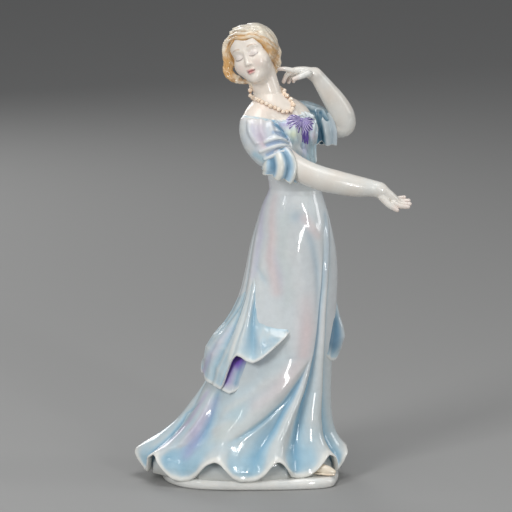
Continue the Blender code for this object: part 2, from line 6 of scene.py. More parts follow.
import bpy
import numpy as np
import openvdb as vdb
from mathutils import Euler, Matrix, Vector


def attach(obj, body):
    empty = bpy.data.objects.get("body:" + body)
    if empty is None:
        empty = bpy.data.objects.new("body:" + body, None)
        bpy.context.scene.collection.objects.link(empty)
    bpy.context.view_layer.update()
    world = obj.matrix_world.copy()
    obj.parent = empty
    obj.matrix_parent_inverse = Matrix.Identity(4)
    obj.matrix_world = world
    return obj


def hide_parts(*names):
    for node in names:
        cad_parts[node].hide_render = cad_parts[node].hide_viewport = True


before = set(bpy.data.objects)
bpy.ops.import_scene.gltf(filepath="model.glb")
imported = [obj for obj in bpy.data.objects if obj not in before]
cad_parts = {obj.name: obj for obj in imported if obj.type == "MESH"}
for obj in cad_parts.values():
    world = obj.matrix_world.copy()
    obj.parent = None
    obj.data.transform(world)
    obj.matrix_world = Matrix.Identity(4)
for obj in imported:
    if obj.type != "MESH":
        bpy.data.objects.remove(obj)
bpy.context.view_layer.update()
MM = 0.001
VIEW_TILT = 10  # degrees that the camera looks down
VIEW_SLOPE = 0.1763  # and their tangent
COARSE = 1.0  # how much coarser every grid is in a rough look
TINY = 1e-9  # keeps a division off nought


# ---------------------------------------------------------------- numbers
def smooth(low, high, value):
    """0 at low, 1 at high and eased between them. low may lie above high."""
    t = np.clip((value - low) / (high - low), 0, 1)
    return t * t * (3 - 2 * t)


def over(colour, tint, share):
    """The colour with the tint over it. Each point takes its own share of the tint, from 0 to 1."""
    return colour + (tint - colour) * share[:, None]


def linear(red, green, blue):
    """A colour in linear light, from 0 to 255 values as a screen shows them."""
    c = np.array([red, green, blue], float) / 255
    return np.where(c <= 0.04045, c / 12.92, ((c + 0.055) / 1.055) ** 2.4)


def curve(rows, spans=8, closed=False):
    """A smooth run of points through the rows, Catmull-Rom."""
    p = np.array(rows, float)
    if closed:
        p = np.vstack([p[-1], p, p[0], p[1]])
    else:
        p = np.vstack([2 * p[0] - p[1], p, 2 * p[-1] - p[-2]])
    t = np.linspace(0, 1, spans, endpoint=False)[:, None]
    out = []
    for a, b, c, d in zip(p, p[1:], p[2:], p[3:]):
        out.append(b + 0.5 * t * (c - a + t * (2 * a - 5 * b + 4 * c - d + t * (3 * (b - c) + d - a))))
    if not closed:
        out.append(p[-2:-1])
    return np.vstack(out)


def ripple(points, scale, seed=0.0):
    """A soft random value from -1 to 1 over space, the same at each run. scale is the size of a patch."""
    x, y, z = [points[..., i] / scale for i in range(3)]
    s = seed
    a = np.sin(2.1 * x + 1.3 * y + 0.7 * z + 1.7 + s) + np.sin(-1.1 * x + 2.3 * y + 1.9 * z + 0.4 + 2 * s)
    b = np.sin(1.5 * x - 1.7 * y + 2.9 * z + 2.9 + 3 * s) + np.sin(3.3 * x + 0.9 * y - 2.3 * z + 5.1 + s)
    return (a + b) / 4


def shown_height(points):
    """How high each point shows from the front."""
    return points[:, 2] + VIEW_SLOPE * points[:, 1]


def near_line(x, h, stops, wide):
    """1 on a smooth line through stops of the front view, across and up, fading to 0 over wide mm."""
    total = np.zeros(len(x))
    stops = curve(stops, 6) if len(stops) > 2 else np.array(stops, float)
    for (ax, ah), (bx, bh) in zip(stops, stops[1:]):
        u, v = bx - ax, bh - ah
        t = np.clip(((x - ax) * u + (h - ah) * v) / (u * u + v * v + TINY), 0, 1)
        d = np.hypot(x - ax - t * u, h - ah - t * v) / wide
        total = np.maximum(total, np.exp(-d * d))
    return total


# ---------------------------------------------------------------- meshes
def piece(name, points, faces, colour, material, nodes=()):
    """A mesh piece from points in mm, arrays of faces and a colour a point. It rides on the figurine."""
    mesh = bpy.data.meshes.new(name)
    flat = np.concatenate([f.reshape(-1) for f in faces])
    total = np.concatenate([np.full(len(f), f.shape[1]) for f in faces])
    mesh.vertices.add(len(points))
    mesh.vertices.foreach_set("co", (np.asarray(points) * MM).astype(np.float32).ravel())
    mesh.loops.add(len(flat))
    mesh.loops.foreach_set("vertex_index", flat.astype(np.int32))
    mesh.polygons.add(len(total))
    mesh.polygons.foreach_set("loop_start", (np.cumsum(total) - total).astype(np.int32))
    mesh.polygons.foreach_set("loop_total", total.astype(np.int32))
    mesh.polygons.foreach_set("use_smooth", np.ones(len(total), bool))
    mesh.update(calc_edges=True)
    mesh.validate()
    paint = mesh.color_attributes.new("paint", "FLOAT_COLOR", "POINT")
    rgba = np.ones((len(points), 4), np.float32)
    rgba[:, :3] = np.clip(colour, 0, 1)
    paint.data.foreach_set("color", rgba.ravel())
    made = bpy.data.objects.new(name, mesh)
    bpy.context.scene.collection.objects.link(made)
    mesh.materials.append(material)
    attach(made, "root")
    if nodes:
        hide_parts(*nodes)


def outward_faces(points, faces):
    """Turns the faces round if they look inwards."""
    total = 0.0
    for f in faces:
        a = points[f[:, 0]]
        for i in range(1, f.shape[1] - 1):
            total += np.einsum("ij,ij->i", a, np.cross(points[f[:, i]], points[f[:, i + 1]])).sum()
    return faces if total > 0 else [f[:, ::-1] for f in faces]


def loft(rings):
    """Points and faces of a closed solid from rings x sides x 3, with a fan on each end."""
    rows, sides = rings.shape[:2]
    points = np.vstack([rings.reshape(-1, 3), rings[0].mean(0), rings[-1].mean(0)])
    here = np.arange(sides)
    after = (here + 1) % sides
    start = np.arange(rows - 1)[:, None] * sides
    walls = np.stack([start + here, start + after, start + sides + after, start + sides + here],
                     -1).reshape(-1, 4)
    last = (rows - 1) * sides
    first_fan = np.stack([after, here, np.full(sides, rows * sides)], -1)
    last_fan = np.stack([last + here, last + after, np.full(sides, rows * sides + 1)], -1)
    return points, outward_faces(points, [walls, first_fan, last_fan])


def soft_min(a, b, k):
    """The lower of two distances, blended where they differ by less than k."""
    if k <= 0:
        return np.minimum(a, b)
    h = np.maximum(k - np.abs(a - b), 0) / k
    return np.minimum(a, b) - h * h * (k / 4)


def soft_max(a, b, k):
    return -soft_min(-a, -b, k)


class Solid:
    """A modelled solid: signed distances on a grid, negative inside."""

    FAR = 9.0  # mm, the distance of an empty grid
    BAND = 3.0  # cells on each side of the surface that the volume grid keeps
    PAD = 3  # cells round a shape that it still changes
    DEEP = -15.0  # y at which the search for a point of the front starts

    def __init__(self, low, high, step):
        self.step = step * COARSE
        self.low = np.array(low, float)
        self.size = np.ceil((np.array(high, float) - self.low) / self.step).astype(int) + 1
        self.field = np.full(self.size, self.FAR, np.float32)

    def copy(self):
        made = copy.copy(self)
        made.field = self.field.copy()
        return made

    def window(self, low, high):
        """The slices of the grid from low to high, and the places of their cells."""
        first = np.clip(np.floor((np.array(low) - self.low) / self.step).astype(int), 0, self.size)
        last = np.clip(np.ceil((np.array(high) - self.low) / self.step).astype(int) + 1, 0, self.size)
        axes = [(self.low[i] + self.step * np.arange(first[i], last[i])).astype(np.float32) for i in range(3)]
        where = tuple(slice(a, b) for a, b in zip(first, last))
        return where, np.meshgrid(*axes, indexing="ij", sparse=True)

    def everywhere(self):
        return self.window(self.low, self.low + self.step * (self.size - 1))[1]

    def join(self, low, high, shape, k=0.0, cut=False):
        pad = k + self.PAD * self.step
        where, (x, y, z) = self.window(np.array(low) - pad, np.array(high) + pad)
        if 0 in self.field[where].shape:
            return
        new = shape(x, y, z)
        old = self.field[where]
        self.field[where] = soft_max(old, -new, k) if cut else soft_min(old, new, k)

    def tube(self, route, k=0.0, spans=6, cut=False, squash=None):
        """A round rod along x, y, z, radius. squash is a direction and the share of the radius kept there."""
        rows = curve(route, spans)
        reach = rows[:, 3].max()
        low, high = rows[:, :3].min(0) - reach, rows[:, :3].max(0) + reach
        pad = k + self.PAD * self.step
        where, _ = self.window(low - pad, high + pad)
        own = np.full(self.field[where].shape, self.FAR, np.float32)
        start = np.array([w.start for w in where])
        if squash is not None:
            axis = np.array(squash[0], float)
            axis /= np.linalg.norm(axis)
            stretch = 1 / squash[1] - 1
        for a, b in zip(rows, rows[1:]):
            span = b[:3] - a[:3]
            wide = max(a[3], b[3]) + pad
            part, (x, y, z) = self.window(np.minimum(a, b)[:3] - wide, np.maximum(a, b)[:3] + wide)
            mine = tuple(slice(max(p.start - s, 0), max(p.stop - s, 0)) for p, s in zip(part, start))
            if 0 in own[mine].shape:
                continue
            x, y, z = x - a[0], y - a[1], z - a[2]
            t = np.clip((x * span[0] + y * span[1] + z * span[2]) / max(span @ span, TINY), 0, 1)
            x, y, z = x - t * span[0], y - t * span[1], z - t * span[2]
            if squash is not None:
                along = (x * axis[0] + y * axis[1] + z * axis[2]) * stretch
                x, y, z = x + along * axis[0], y + along * axis[1], z + along * axis[2]
            new = np.sqrt(x * x + y * y + z * z) - (a[3] + (b[3] - a[3]) * t)
            a0, a1, a2 = own[mine].shape
            own[mine] = np.minimum(own[mine], new[:a0, :a1, :a2])
        old = self.field[where]
        self.field[where] = soft_max(old, -own, k) if cut else soft_min(old, own, k)

    def egg(self, centre, radii, k=0.0, cut=False):
        """An ellipsoid with its axes along x, y and z."""
        c, r = np.array(centre, float), np.array(radii, float)

        def shape(x, y, z):
            x, y, z = x - c[0], y - c[1], z - c[2]
            k0 = np.sqrt((x / r[0]) ** 2 + (y / r[1]) ** 2 + (z / r[2]) ** 2) + 1e-6
            k1 = np.sqrt((x / r[0] ** 2) ** 2 + (y / r[1] ** 2) ** 2 + (z / r[2] ** 2) ** 2) + 1e-6
            return k0 * (k0 - 1) / k1

        self.join(c - r, c + r, shape, k, cut)

    def mesh(self):
        """Points and faces where the distance is nought."""
        grid = vdb.FloatGrid(self.BAND)
        field = np.clip(self.field / self.step, -self.BAND, self.BAND).astype(np.float32)
        for axis in range(3):
            edge = [slice(None)] * 3
            for side in (0, -1):
                edge[axis] = side
                field[tuple(edge)] = self.BAND
        grid.copyFromArray(field)
        points, quads = grid.convertToQuads(0.0)
        return points * self.step + self.low, [quads.astype(np.int64)]

    def front(self, x, z):
        """The lowest y of the solid at x, z, where a trimming lies on its front."""
        i, k = (int(round((v - self.low[a]) / self.step)) for v, a in ((x, 0), (z, 2)))
        i, k = min(max(i, 0), self.field.shape[0] - 1), min(max(k, 0), self.field.shape[2] - 1)
        column = self.field[i, :, k]
        inside = np.nonzero(column < 0)[0]
        if not len(inside):
            return float(self.low[1] + self.step * int(np.argmin(column)))
        j = inside[0]
        share = column[j - 1] / (column[j - 1] - column[j]) if j else 0.0
        return float(self.low[1] + self.step * (j - 1 + share))

    def seen(self, x, h, lift=0.0):
        """The point of the front that shows x across and h up to the camera, lifted forwards."""
        y = self.DEEP
        for _ in range(6):
            y = self.front(x, h - VIEW_SLOPE * y)
        return x, y - lift, h - VIEW_SLOPE * y


# ---------------------------------------------------------------- materials
def glaze(name, rough=0.1, coat=0.5, mottle=0.05, relief=0.25, glow=0.12):
    """Glazed porcelain: the painted colour with brushed mottling, a slightly wavy glaze and soft depth."""
    made = bpy.data.materials.new(name)
    made.use_nodes = True
    nodes, links = made.node_tree.nodes, made.node_tree.links

    def setting(node, **values):
        for key, value in values.items():
            node.inputs[key.replace("_", " ")].default_value = value
        return node

    def add(kind, **values):
        return setting(nodes.new("ShaderNode" + kind), **values)

    def link(node, output, to, entry):
        links.new(node.outputs[output], to.inputs[entry])

    shader = setting(
        nodes["Principled BSDF"], IOR=1.5, Coat_Weight=coat, Coat_Roughness=0.04, Subsurface_Weight=glow,
        Subsurface_Scale=0.002, Subsurface_Radius=(1.0, 0.9, 0.8),
    )
    place = add("TexCoord")
    paint = add("Attribute")
    paint.attribute_name = "paint"
    cloud = add("TexNoise", Scale=260, Detail=5, Roughness=0.6)
    link(place, "Object", cloud, "Vector")
    ramp = add("MapRange", From_Min=0.3, From_Max=0.7, To_Min=1 - mottle, To_Max=1 + mottle)
    link(cloud, "Fac", ramp, "Value")
    tint = add("VectorMath")
    tint.operation = "SCALE"
    link(paint, "Color", tint, 0)
    link(ramp, "Result", tint, "Scale")
    link(tint, "Vector", shader, "Base Color")
    wear = add("MapRange", From_Min=0.35, From_Max=0.75, To_Min=rough * 0.7, To_Max=rough * 1.6)
    link(cloud, "Fac", wear, "Value")
    link(wear, "Result", shader, "Roughness")
    swell = add("TexNoise", Scale=150, Detail=2)
    link(place, "Object", swell, "Vector")
    bump = add("Bump", Strength=relief, Distance=0.0006)
    link(swell, "Fac", bump, "Height")
    link(bump, "Normal", shader, "Normal")
    return made


GLAZE_BLUE = glaze("blue_wash_glaze", rough=0.12, mottle=0.04)
GLAZE_WHITE = glaze("white_glaze", rough=0.1, mottle=0.03)
SKIN = glaze("ivory_glaze", rough=0.2, coat=0.2, mottle=0.025, relief=0.15)
HAIR = glaze("brushed_gold_glaze", rough=0.16, mottle=0.1, relief=0.4)
VIOLET = glaze("violet_glaze", rough=0.14, mottle=0.16, relief=0.5)
GILT = glaze("peach_lustre", rough=0.1, coat=0.8, mottle=0.08, glow=0.05)
CREAM = glaze("cream_glaze", rough=0.16, mottle=0.05)

PORCELAIN = linear(230, 233, 230)
PALE_BLUE = linear(178, 208, 222)
MID_BLUE = linear(122, 170, 198)
LILAC = linear(184, 170, 210)
IVORY = linear(226, 217, 206)
PALE_SKIN = linear(239, 230, 219)
BLUSH = linear(226, 194, 184)


# ---------------------------------------------------------------- skirt
# height, then the left, right, front and back of the skirt without its folds
SKIRT = (
    (168, 12.5, 41.5, -13, 13), (158, 7.8, 44.6, -16.5, 16.5), (146, 4, 47.6, -18.5, 19),
    (133, 0.8, 50, -19.5, 21), (120, -1.6, 50.9, -20.5, 22), (107, -4.8, 50.5, -21.5, 23),
    (94, -9.5, 49.8, -22.5, 25), (81, -14.5, 48.7, -24, 26.5), (68, -19, 47.4, -25.5, 28),
    (55, -24.5, 46.7, -27.5, 29.5), (44, -31.8, 46.6, -29.5, 31), (34, -39.5, 47.2, -31.5, 33),
    (26, -48.5, 48.6, -34, 35.5), (20, -57, 51.5, -37, 38.5), (15.5, -61.5, 54.8, -39.5, 41),
    (11, -62.5, 56.5, -41, 42.5),
)
SECTIONS = curve(SKIRT, 24)[::-1]


def section(z):
    """The middle and half width of the skirt at a height, across and then in depth."""
    left, right, front, back = [np.interp(z, SECTIONS[:, 0], SECTIONS[:, i]) for i in (1, 2, 3, 4)]
    return (left + right) / 2, (right - left) / 2, (front + back) / 2, (back - front) / 2


def on_skirt(degrees, z, out):
    """The point of the skirt's plain surface, out mm off it. Degrees run from -Y towards +X."""
    cx, rx, cy, ry = section(z)
    s, c = np.sin(np.radians(degrees)), np.cos(np.radians(degrees))
    nx, ny = s / rx, -c / ry
    n = np.hypot(nx, ny)
    return np.stack([cx + rx * s + nx / n * out, cy - ry * c + ny / n * out, z + 0 * s], -1)


def seen(x, h, out=0.0):
    """Degrees and height of the point, out mm off the skirt, that shows x across and h up to the camera."""
    z = float(h)
    for _ in range(20):
        cx, rx, cy, ry = section(z)
        s = min(max((x - cx) / (rx + out), -0.995), 0.995)
        z = h - VIEW_SLOPE * (cy - (ry + out) * math.sqrt(1 - s * s))
    return math.degrees(math.asin(s)), z


def upwards(rows):
    return np.array(sorted(rows, key=lambda row: row[1]))


def front_line(*stops):
    """A fold line of the front, (across, up, rise) each, as degrees, height, rise with height growing."""
    return upwards((*seen(x, h), rise) for x, h, rise in stops)


def drape_line(*stops):
    """A fold line of a drape's front, (across, up, stand off the skirt) each."""
    return upwards((*seen(x, h, max(out, 0)), out) for x, h, out in stops)


def side_line(degrees, *stops):
    """A fold line straight up the side or back, (height, rise or stand) each."""
    return np.array([(degrees, z, rise) for z, rise in stops])


def back_line(foot, lean, rise):
    """A fold line of the sides and back, from the hem up, leaning by lean degrees."""
    stops = ((4, 0, 1.0), (26, 0.25, 0.8), (50, 0.6, 0.42), (84, 0.9, 0.2), (120, 1.0, 0.1), (160, 1.0, 0.0))
    return np.array([(foot + lean * a, z, rise * b) for z, a, b in stops])


# The folds in order round the skirt, ridge and furrow by turns, starting on the left.
FOLDS = (
    np.array([(-90, 4, 1.4), (-90, 30, 1.4), (-88, 60, 0.6), (-86, 110, 0.2), (-86, 160, 0.0)]),
    front_line((-59.5, 5, -1.2), (-57, 12, -1.8), (-50, 19, -1.8), (-40, 30, -1.5), (-31, 42, -0.6),
               (-27, 52, 0)),
    front_line((-53, 13, 2.2), (-40, 20, 2.4), (-31, 28, 2.2), (-25, 38, 1.6), (-20, 50, 0.5), (-17, 58, 0)),
    front_line((-37, -2, -1.0), (-33, 18, -3.4), (-27, 25, -3.4), (-22, 35, -2.6), (-18, 48, -1.4),
               (-14, 58, 0)),
    front_line((-18, 10, 2.4), (-10, 28, 3.0), (10, 45, 2.2), (24, 58, 1.2), (35, 70, 0)),
    front_line((0, -1, -0.8), (5, 12, -2.6), (12, 24, -2.8), (20, 38, -2.2), (28, 52, -1.4), (35, 68, 0)),
    front_line((16, 9, 2.2), (17, 20, 2.2), (22, 33, 1.8), (30, 50, 1.0), (37, 72, 0)),
    front_line((28, 0, -1.0), (28, 15, -3.4), (30, 30, -3.6), (33, 45, -3.2), (37, 60, -2.4),
               (39.5, 80, -1.4), (41, 100, -0.9), (42.6, 120, -0.5), (43, 140, -0.2), (43.4, 158, 0)),
    front_line((45.5, 13, 2.0), (40, 24, 1.6), (39, 34, 1.6), (41, 50, 1.3), (42, 70, 1.2), (43, 95, 0.9),
               (44.6, 120, 0.7), (45.2, 142, 0.4), (45.4, 158, 0)),
    front_line((52, 4, -0.8), (51, 12, -2.2), (47, 20, -2.2), (44.4, 32, -2.0), (43.8, 60, -1.6),
               (44.4, 80, -1.2), (45.4, 105, -0.8), (46.6, 130, -0.5), (46.6, 158, 0)),
    np.array([(86, 4, 2.4), (86, 22, 2.0), (84, 40, 1.4), (82, 70, 1.2), (82, 110, 0.6), (82, 160, 0.0)]),
    *[back_line(*row) for row in (
        (102, -2, -2.2), (118, -6, 2.2), (134, -4, -2.4), (150, -8, 2.0), (165, -5, -2.4), (181, 0, 2.3),
        (193, 3, -2.3), (206, 6, 2.2), (222, 4, -2.4), (239, 7, 2.0), (255, 3, -2.0),
    )],
    np.array([(270, 4, 1.4), (270, 30, 1.4), (272, 60, 0.6), (274, 110, 0.2), (274, 160, 0.0)]),
)


LEAST_FOLD = 1.0  # degrees from a ridge to the next furrow


def fold_height(folds, degrees, z, valley=0.8, start=-90):
    """How far the folds lift the surface at each place. The first fold lies at or after start degrees."""
    degrees = (degrees - start) % 360 + start
    at = [np.interp(z, f[:, 1], f[:, 0]) for f in folds]
    rise = [np.interp(z, f[:, 1], f[:, 2]) for f in folds]
    for i in range(1, len(at)):
        at[i] = np.maximum(at[i], at[i - 1] + LEAST_FOLD)
    total = np.where(degrees < at[0], rise[0], rise[-1]) + 0 * z
    for i in range(len(folds) - 1):
        t = np.clip((degrees - at[i]) / (at[i + 1] - at[i]), 0, 1)
        up = rise[i] < rise[i + 1]
        t = np.where(up, t, 1 - t)
        low, high = np.minimum(rise[i], rise[i + 1]), np.maximum(rise[i], rise[i + 1])
        lift = low + (high - low) * (0.5 - 0.5 * np.cos(math.pi * t**valley))
        total = np.where((degrees >= at[i]) & (degrees < at[i + 1]), lift, total)
    return total


def turned(degrees):
    """The angle from -180 to 180."""
    return (degrees + 180) % 360 - 180


def front_stroke(degrees, z, *stops):
    """A soft line over the skirt's front. Stops are across, up, amount, width."""
    stops = [(*seen(x, h), amount, width) for x, h, amount, width in stops]
    total = np.zeros(np.broadcast(degrees, z).shape)
    degrees = turned(degrees)
    _, rx, _, ry = section(z)
    girth = (rx + ry) / 2 * (math.pi / 180)
    for (ax, az, aa, aw), (bx, bz, ba, bw) in zip(stops, stops[1:]):
        u, v = (bx - ax) * girth, bz - az
        p, q = (degrees - ax) * girth, z - az
        t = np.clip((p * u + q * v) / (u * u + v * v + TINY), 0, 1)
        d = np.hypot(p - t * u, q - t * v) / (aw + (bw - aw) * t)
        value = (aa + (ba - aa) * t) * np.exp(-d * d)
        total = np.where(np.abs(value) > np.abs(total), value, total)
    return total


# The hem's lower edge round the skirt: degrees from -Y towards +X, height
HEM = (
    (-90, 15), (-82, 11), (-74, 5.5), (-69.5, 5.2), (-66.5, 8.5), (-63, 14), (-58.5, 17.4), (-55, 16.5),
    (-51.5, 12.5), (-47.5, 7.4), (-43, 4.4), (-37, 3.4), (-31, 4.6), (-26.5, 7.6), (-22.5, 12), (-19, 15.4),
    (-15, 17), (-11.5, 15.6), (-8.5, 11.6), (-5.5, 7.4), (-1, 5.2), (4, 5.2), (8, 6), (11.5, 8.6), (15, 13),
    (18, 16), (20.6, 16.8), (23.5, 14.8), (25.6, 10.8), (28, 7.4), (31.5, 6.1), (36, 6), (40, 6.6), (44, 9),
    (48, 12.4), (52.5, 15.6), (57, 17.4), (61, 15.6), (64, 9.8), (67.5, 5.8), (71, 7.4), (76, 12), (84, 17),
    (92, 17.6), (97, 12), (102, 6.5), (108, 8), (118, 16.4), (127, 9), (134, 5.4), (142, 9), (150, 16.6),
    (158, 9), (165, 5.4), (173, 10), (181, 16.8), (188, 9.5), (193, 5.6), (199, 9.5), (206, 16.2), (214, 9),
    (222, 5.6), (231, 9.6), (239, 16.4), (247, 9.6), (255, 5.8), (263, 10.5), (270, 15),
)


def hem_edge(degrees):
    """The height of the hem's lower edge, its corners rounded off."""
    step, blur = 0.25, 1.1
    at, height = np.array(HEM).T
    fine = np.arange(-90, 270, step)
    edge = np.interp(fine, at, height)
    weight = np.exp(-((np.arange(-8, 9) * step / blur) ** 2))
    edge = np.convolve(np.concatenate([edge[-8:], edge, edge[:8]]), weight / weight.sum(), "valid")
    return np.interp((degrees + 90) % 360 - 90, fine, edge, period=360)


# Ridges and creases over the folds, as they show from the front: across, up, height, width
CREASES = (
    ((9, 156, 0.1, 1.6), (3, 125, 0.6, 2.0), (0, 105, 0.8, 2.2), (-3, 88, 0.9, 2.4), (-6, 74, 0.3, 2.4)),
    ((6, 150, 0, 1.2), (0, 120, -0.6, 1.4), (-4, 100, -0.8, 1.5), (-10, 88, -0.5, 1.6), (-18, 72, 0, 2)),
    ((10, 146, 0, 2.2), (5, 122, -0.5, 2.2), (8, 116, -0.6, 2.4), (13, 110, 0, 3)),
    ((36, 142, 0, 2.4), (39.4, 122, -0.7, 2.2), (40, 100, -0.5, 2.0), (38, 84, 0, 2)),
    ((27, 160, 0, 5), (28, 151, -0.9, 5), (30, 144, 0, 5)),
    ((24, 144, 0.2, 5), (25, 130, 1.1, 6), (28, 112, 1.0, 6), (31, 96, 0.2, 5)),
    ((15, 160, 0, 2.4), (14.6, 140, 0.6, 2.6), (14, 122, 0.6, 2.6), (13, 106, 0, 2.4)),
    ((32, 153, 0, 2.4), (38, 144, 0.5, 2.4), (42, 136, 0, 2.4)),
    ((-10, 29, 0.9, 5.5), (-8, 27, 0.9, 5.5)),
    ((-24, 46, 0, 1.4), (-36, 36.5, -0.7, 1.3), (-45, 25, -0.8, 1.2), (-51, 18, 0, 1.2)),
    ((-20, 44, 0, 1.6), (-27, 33, 0.5, 1.5), (-34, 24, 0.5, 1.5), (-41, 13, 0, 1.6)),
    ((33, 62, 0, 1.6), (20, 43, -0.9, 1.5), (8, 32.5, -1.0, 1.5), (-3, 25, -0.7, 1.6), (-12, 20, 0, 2)),
    ((26, 66, 0, 2.5), (8, 54, 0.5, 3), (-12, 40, 0.5, 3), (-20, 30, 0, 3)),
    ((36, 58, 0, 1.5), (26, 40, 0.6, 1.6), (21, 28, 0.6, 1.6), (17, 18, 0, 1.6)),
)


def skirt_relief(degrees, z):
    """The skirt's folds and creases above its plain surface."""
    edge = hem_edge(degrees)
    rise = fold_height(FOLDS, degrees, z) + 1.8 * np.exp(-(((z - edge) / 9.0) ** 2)) * smooth(6, 15, edge)
    for stops in CREASES:
        rise = rise + front_stroke(degrees, z, *stops)
    return rise


def pooled(relief, reach):
    """How deep each place lies in its surroundings, -1 to 1. Glaze gathers in furrows and thins on ridges."""
    soft = relief
    for axis, size in ((1, reach[1]), (0, reach[0])):
        size = max(int(size), 1)
        weight = np.exp(-((np.arange(-size, size + 1) / (size * 0.6)) ** 2))
        weight /= weight.sum()
        pad = [(0, 0), (0, 0)]
        pad[axis] = (size, size)
        wide = np.pad(soft, pad, mode="wrap" if axis == 1 else "edge")
        soft = np.apply_along_axis(np.convolve, axis, wide, weight, "valid")
    return soft - relief


SKIRT_TOP, SKIRT_FLOOR = 176.0, 5.6
ROLL = 1.5  # radius of the hem's rolled edge
LIP_TURNS = np.linspace(0, math.pi, 9)[1:]
# Inside the hem and up the hollow: share of the way, depth of colour. Up the hollow the depth of colour is
# painted shade, darkest at its top.
HEM_BACK = ((0.3, -0.2), (0.65, 0.3), (1.0, 0.6))
SHADED_HOLLOW = ((0.0, 5.0), (0.35, 4.4), (1.0, 0.3))


def padded(values, first=0, second=0):
    """One value a point, with those of a loft's two middle points at the end."""
    return np.append(values.ravel(), (first, second))


def make_skirt():
    columns, rows = int(620 / COARSE), int(300 / COARSE)
    degrees = np.linspace(-180, 180, columns, endpoint=False)[None, :]
    edge = hem_edge(degrees)
    t = np.linspace(0, 1, rows)[:, None]
    z = SKIRT_TOP + (edge + ROLL - SKIRT_TOP) * t**0.92
    rise = skirt_relief(degrees + 0 * z, z)
    depth = pooled(rise, (26 / COARSE, 16 / COARSE))
    rise = rise - 2.6 * smooth(168.5, SKIRT_TOP, z)
    rings = [on_skirt(degrees, z, rise + 0.5 * np.exp(-(((z - edge - ROLL) / 2.0) ** 2)))]
    tones = [depth]
    lip = rise[-1:] + 0.5

    def add(height, out, tone):
        rings.append(on_skirt(degrees, height, out))
        tones.append(tone + 0 * edge)

    for a in LIP_TURNS:
        add(edge + ROLL - ROLL * math.sin(a), lip - ROLL + ROLL * math.cos(a), -0.6)
    for share, tone in HEM_BACK:
        add(edge + ROLL + 4.0 * share, lip - 2 * ROLL - 1.2 * share, tone)
    # up the hollow under the hem, with painted shade
    for share, tone in SHADED_HOLLOW:
        top = edge + ROLL + 3.4
        add(top + (SKIRT_FLOOR - top) * share, np.minimum(lip - 4.2, -2.6) - 0.8 * (1 - share), tone)
    rings = np.concatenate(rings)
    points, faces = loft(rings)
    angle = padded(np.broadcast_to(degrees, rings.shape[:2]))
    above = padded(rings[..., 2] - edge, 90, 90)
    colour = skirt_colour(points, angle, points[:, 2], padded(np.concatenate(tones)), above)
    piece("skirt_folds", points, faces, colour, GLAZE_BLUE, ("skirt",))


# Tints floated over the skirt's front: the tint, its most, and strokes as across, up, amount, width
SKIRT_TINTS = (
    (MID_BLUE, 0.48, (
        ((44, 152, 0.6, 2.5), (43.5, 120, 0.7, 2.2), (41, 100, 0.6, 2), (39, 80, 0.5, 2), (36, 60, 0.7, 2.4),
         (32, 45, 0.9, 2.6), (29, 30, 1.0, 3), (28, 14, 0.9, 3), (27, 6, 0.5, 3)),
        ((30, 150, 0.1, 2), (35, 140, 0.5, 2.4), (38.6, 125, 0.5, 2.6), (39.6, 108, 0.35, 2.4),
         (38, 86, 0, 2)),
        ((22, 40, 0.1, 2), (12, 31, 0.5, 2.4), (6, 20, 0.6, 3), (4, 10, 0.4, 3)),
        ((-30, 34, 0.2, 2), (-37, 24, 0.6, 2.6), (-44, 14, 0.5, 3)),
    )),
    (LILAC, 0.72, (
        ((-24, 48, 0.6, 3), (-38, 28, 0.8, 3.2), (-48, 18, 0.6, 3.2)),
        ((-20, 44, 0.4, 3.5), (-29, 28, 0.8, 3.4), (-35, 14, 0.6, 3.4)),
        ((8, 168, 0.5, 3), (7, 140, 0.5, 3), (3, 118, 0.3, 3)),
        ((14, 132, 0.2, 2), (18, 116, 0.4, 2.4), (19, 104, 0.1, 2)),
        ((-6, 92, 0.5, 3), (-14, 78, 0.5, 3)),
    )),
    (linear(228, 209, 209), 0.85, (
        ((15, 162, 0.5, 3), (14, 140, 0.8, 3), (12.4, 128, 0.8, 3.4), (16.4, 108, 0.7, 3)),
        ((32, 150, 0.6, 3.4), (39, 141, 0.5, 3)),
        ((31, 70, 0.5, 5), (20, 56, 0.6, 5), (6, 44, 0.4, 5)),
        ((33, 102, 0.4, 5), (33.5, 86, 0.9, 5), (32, 72, 0.8, 5)),
    )),
    (linear(198, 212, 206), 0.45, (
        ((20, 150, 0.5, 4), (20, 128, 0.6, 5), (22, 104, 0.5, 5)),
        ((-4, 40, 0.5, 4), (-16, 24, 0.5, 4)),
    )),
)


def skirt_colour(points, degrees, z, depth, above):
    """Pale blue wash that gathers in the furrows, with lilac, pink and green tints floated over it, and
    painted shade up the hollow inside the hem.
    """
    wash = smooth(-0.55, 0.45, depth)
    deep = smooth(0.1, 1.25, depth)
    low = smooth(70, 30, z)
    cloud = 0.5 + 0.5 * ripple(points * np.array([1.0, 1.0, 0.3]), 11.0, 0.7)
    colour = over(PORCELAIN, linear(224, 223, 224), (0.3 + 0.6 * cloud) * (1 - low))
    colour = over(colour, linear(206, 212, 212), 0.75 * smooth(92, 66, z))
    colour = over(colour, PALE_BLUE, 0.03 + 0.05 * low + (0.29 + 0.53 * low) * wash)
    colour = over(colour, MID_BLUE, 0.75 * deep)
    flute = smooth(26, 12, z) * smooth(3, 7, above) * smooth(-0.9, 0.3, depth)
    colour = over(colour, linear(140, 188, 212), 0.4 * flute)
    front = np.abs(turned(degrees)) < 100
    for tint, most, strokes in SKIRT_TINTS:
        shares = [np.abs(front_stroke(degrees, z, *stops)) * front for stops in strokes]
        colour = over(colour, tint, most * np.max(shares, axis=0))
    colour = over(colour, linear(236, 236, 230), 0.95 * smooth(4.4, 1.9, above))
    # painted shade up the hollow inside the hem, where the depth of colour passes 2.5
    colour = over(colour, linear(112, 138, 154), 0.85 * smooth(2.5, 5, depth))
    streak = ripple(points * np.array([1.0, 1.0, 0.22]), 3.2)
    return colour * (1 + 0.025 * streak)[:, None]


make_skirt()


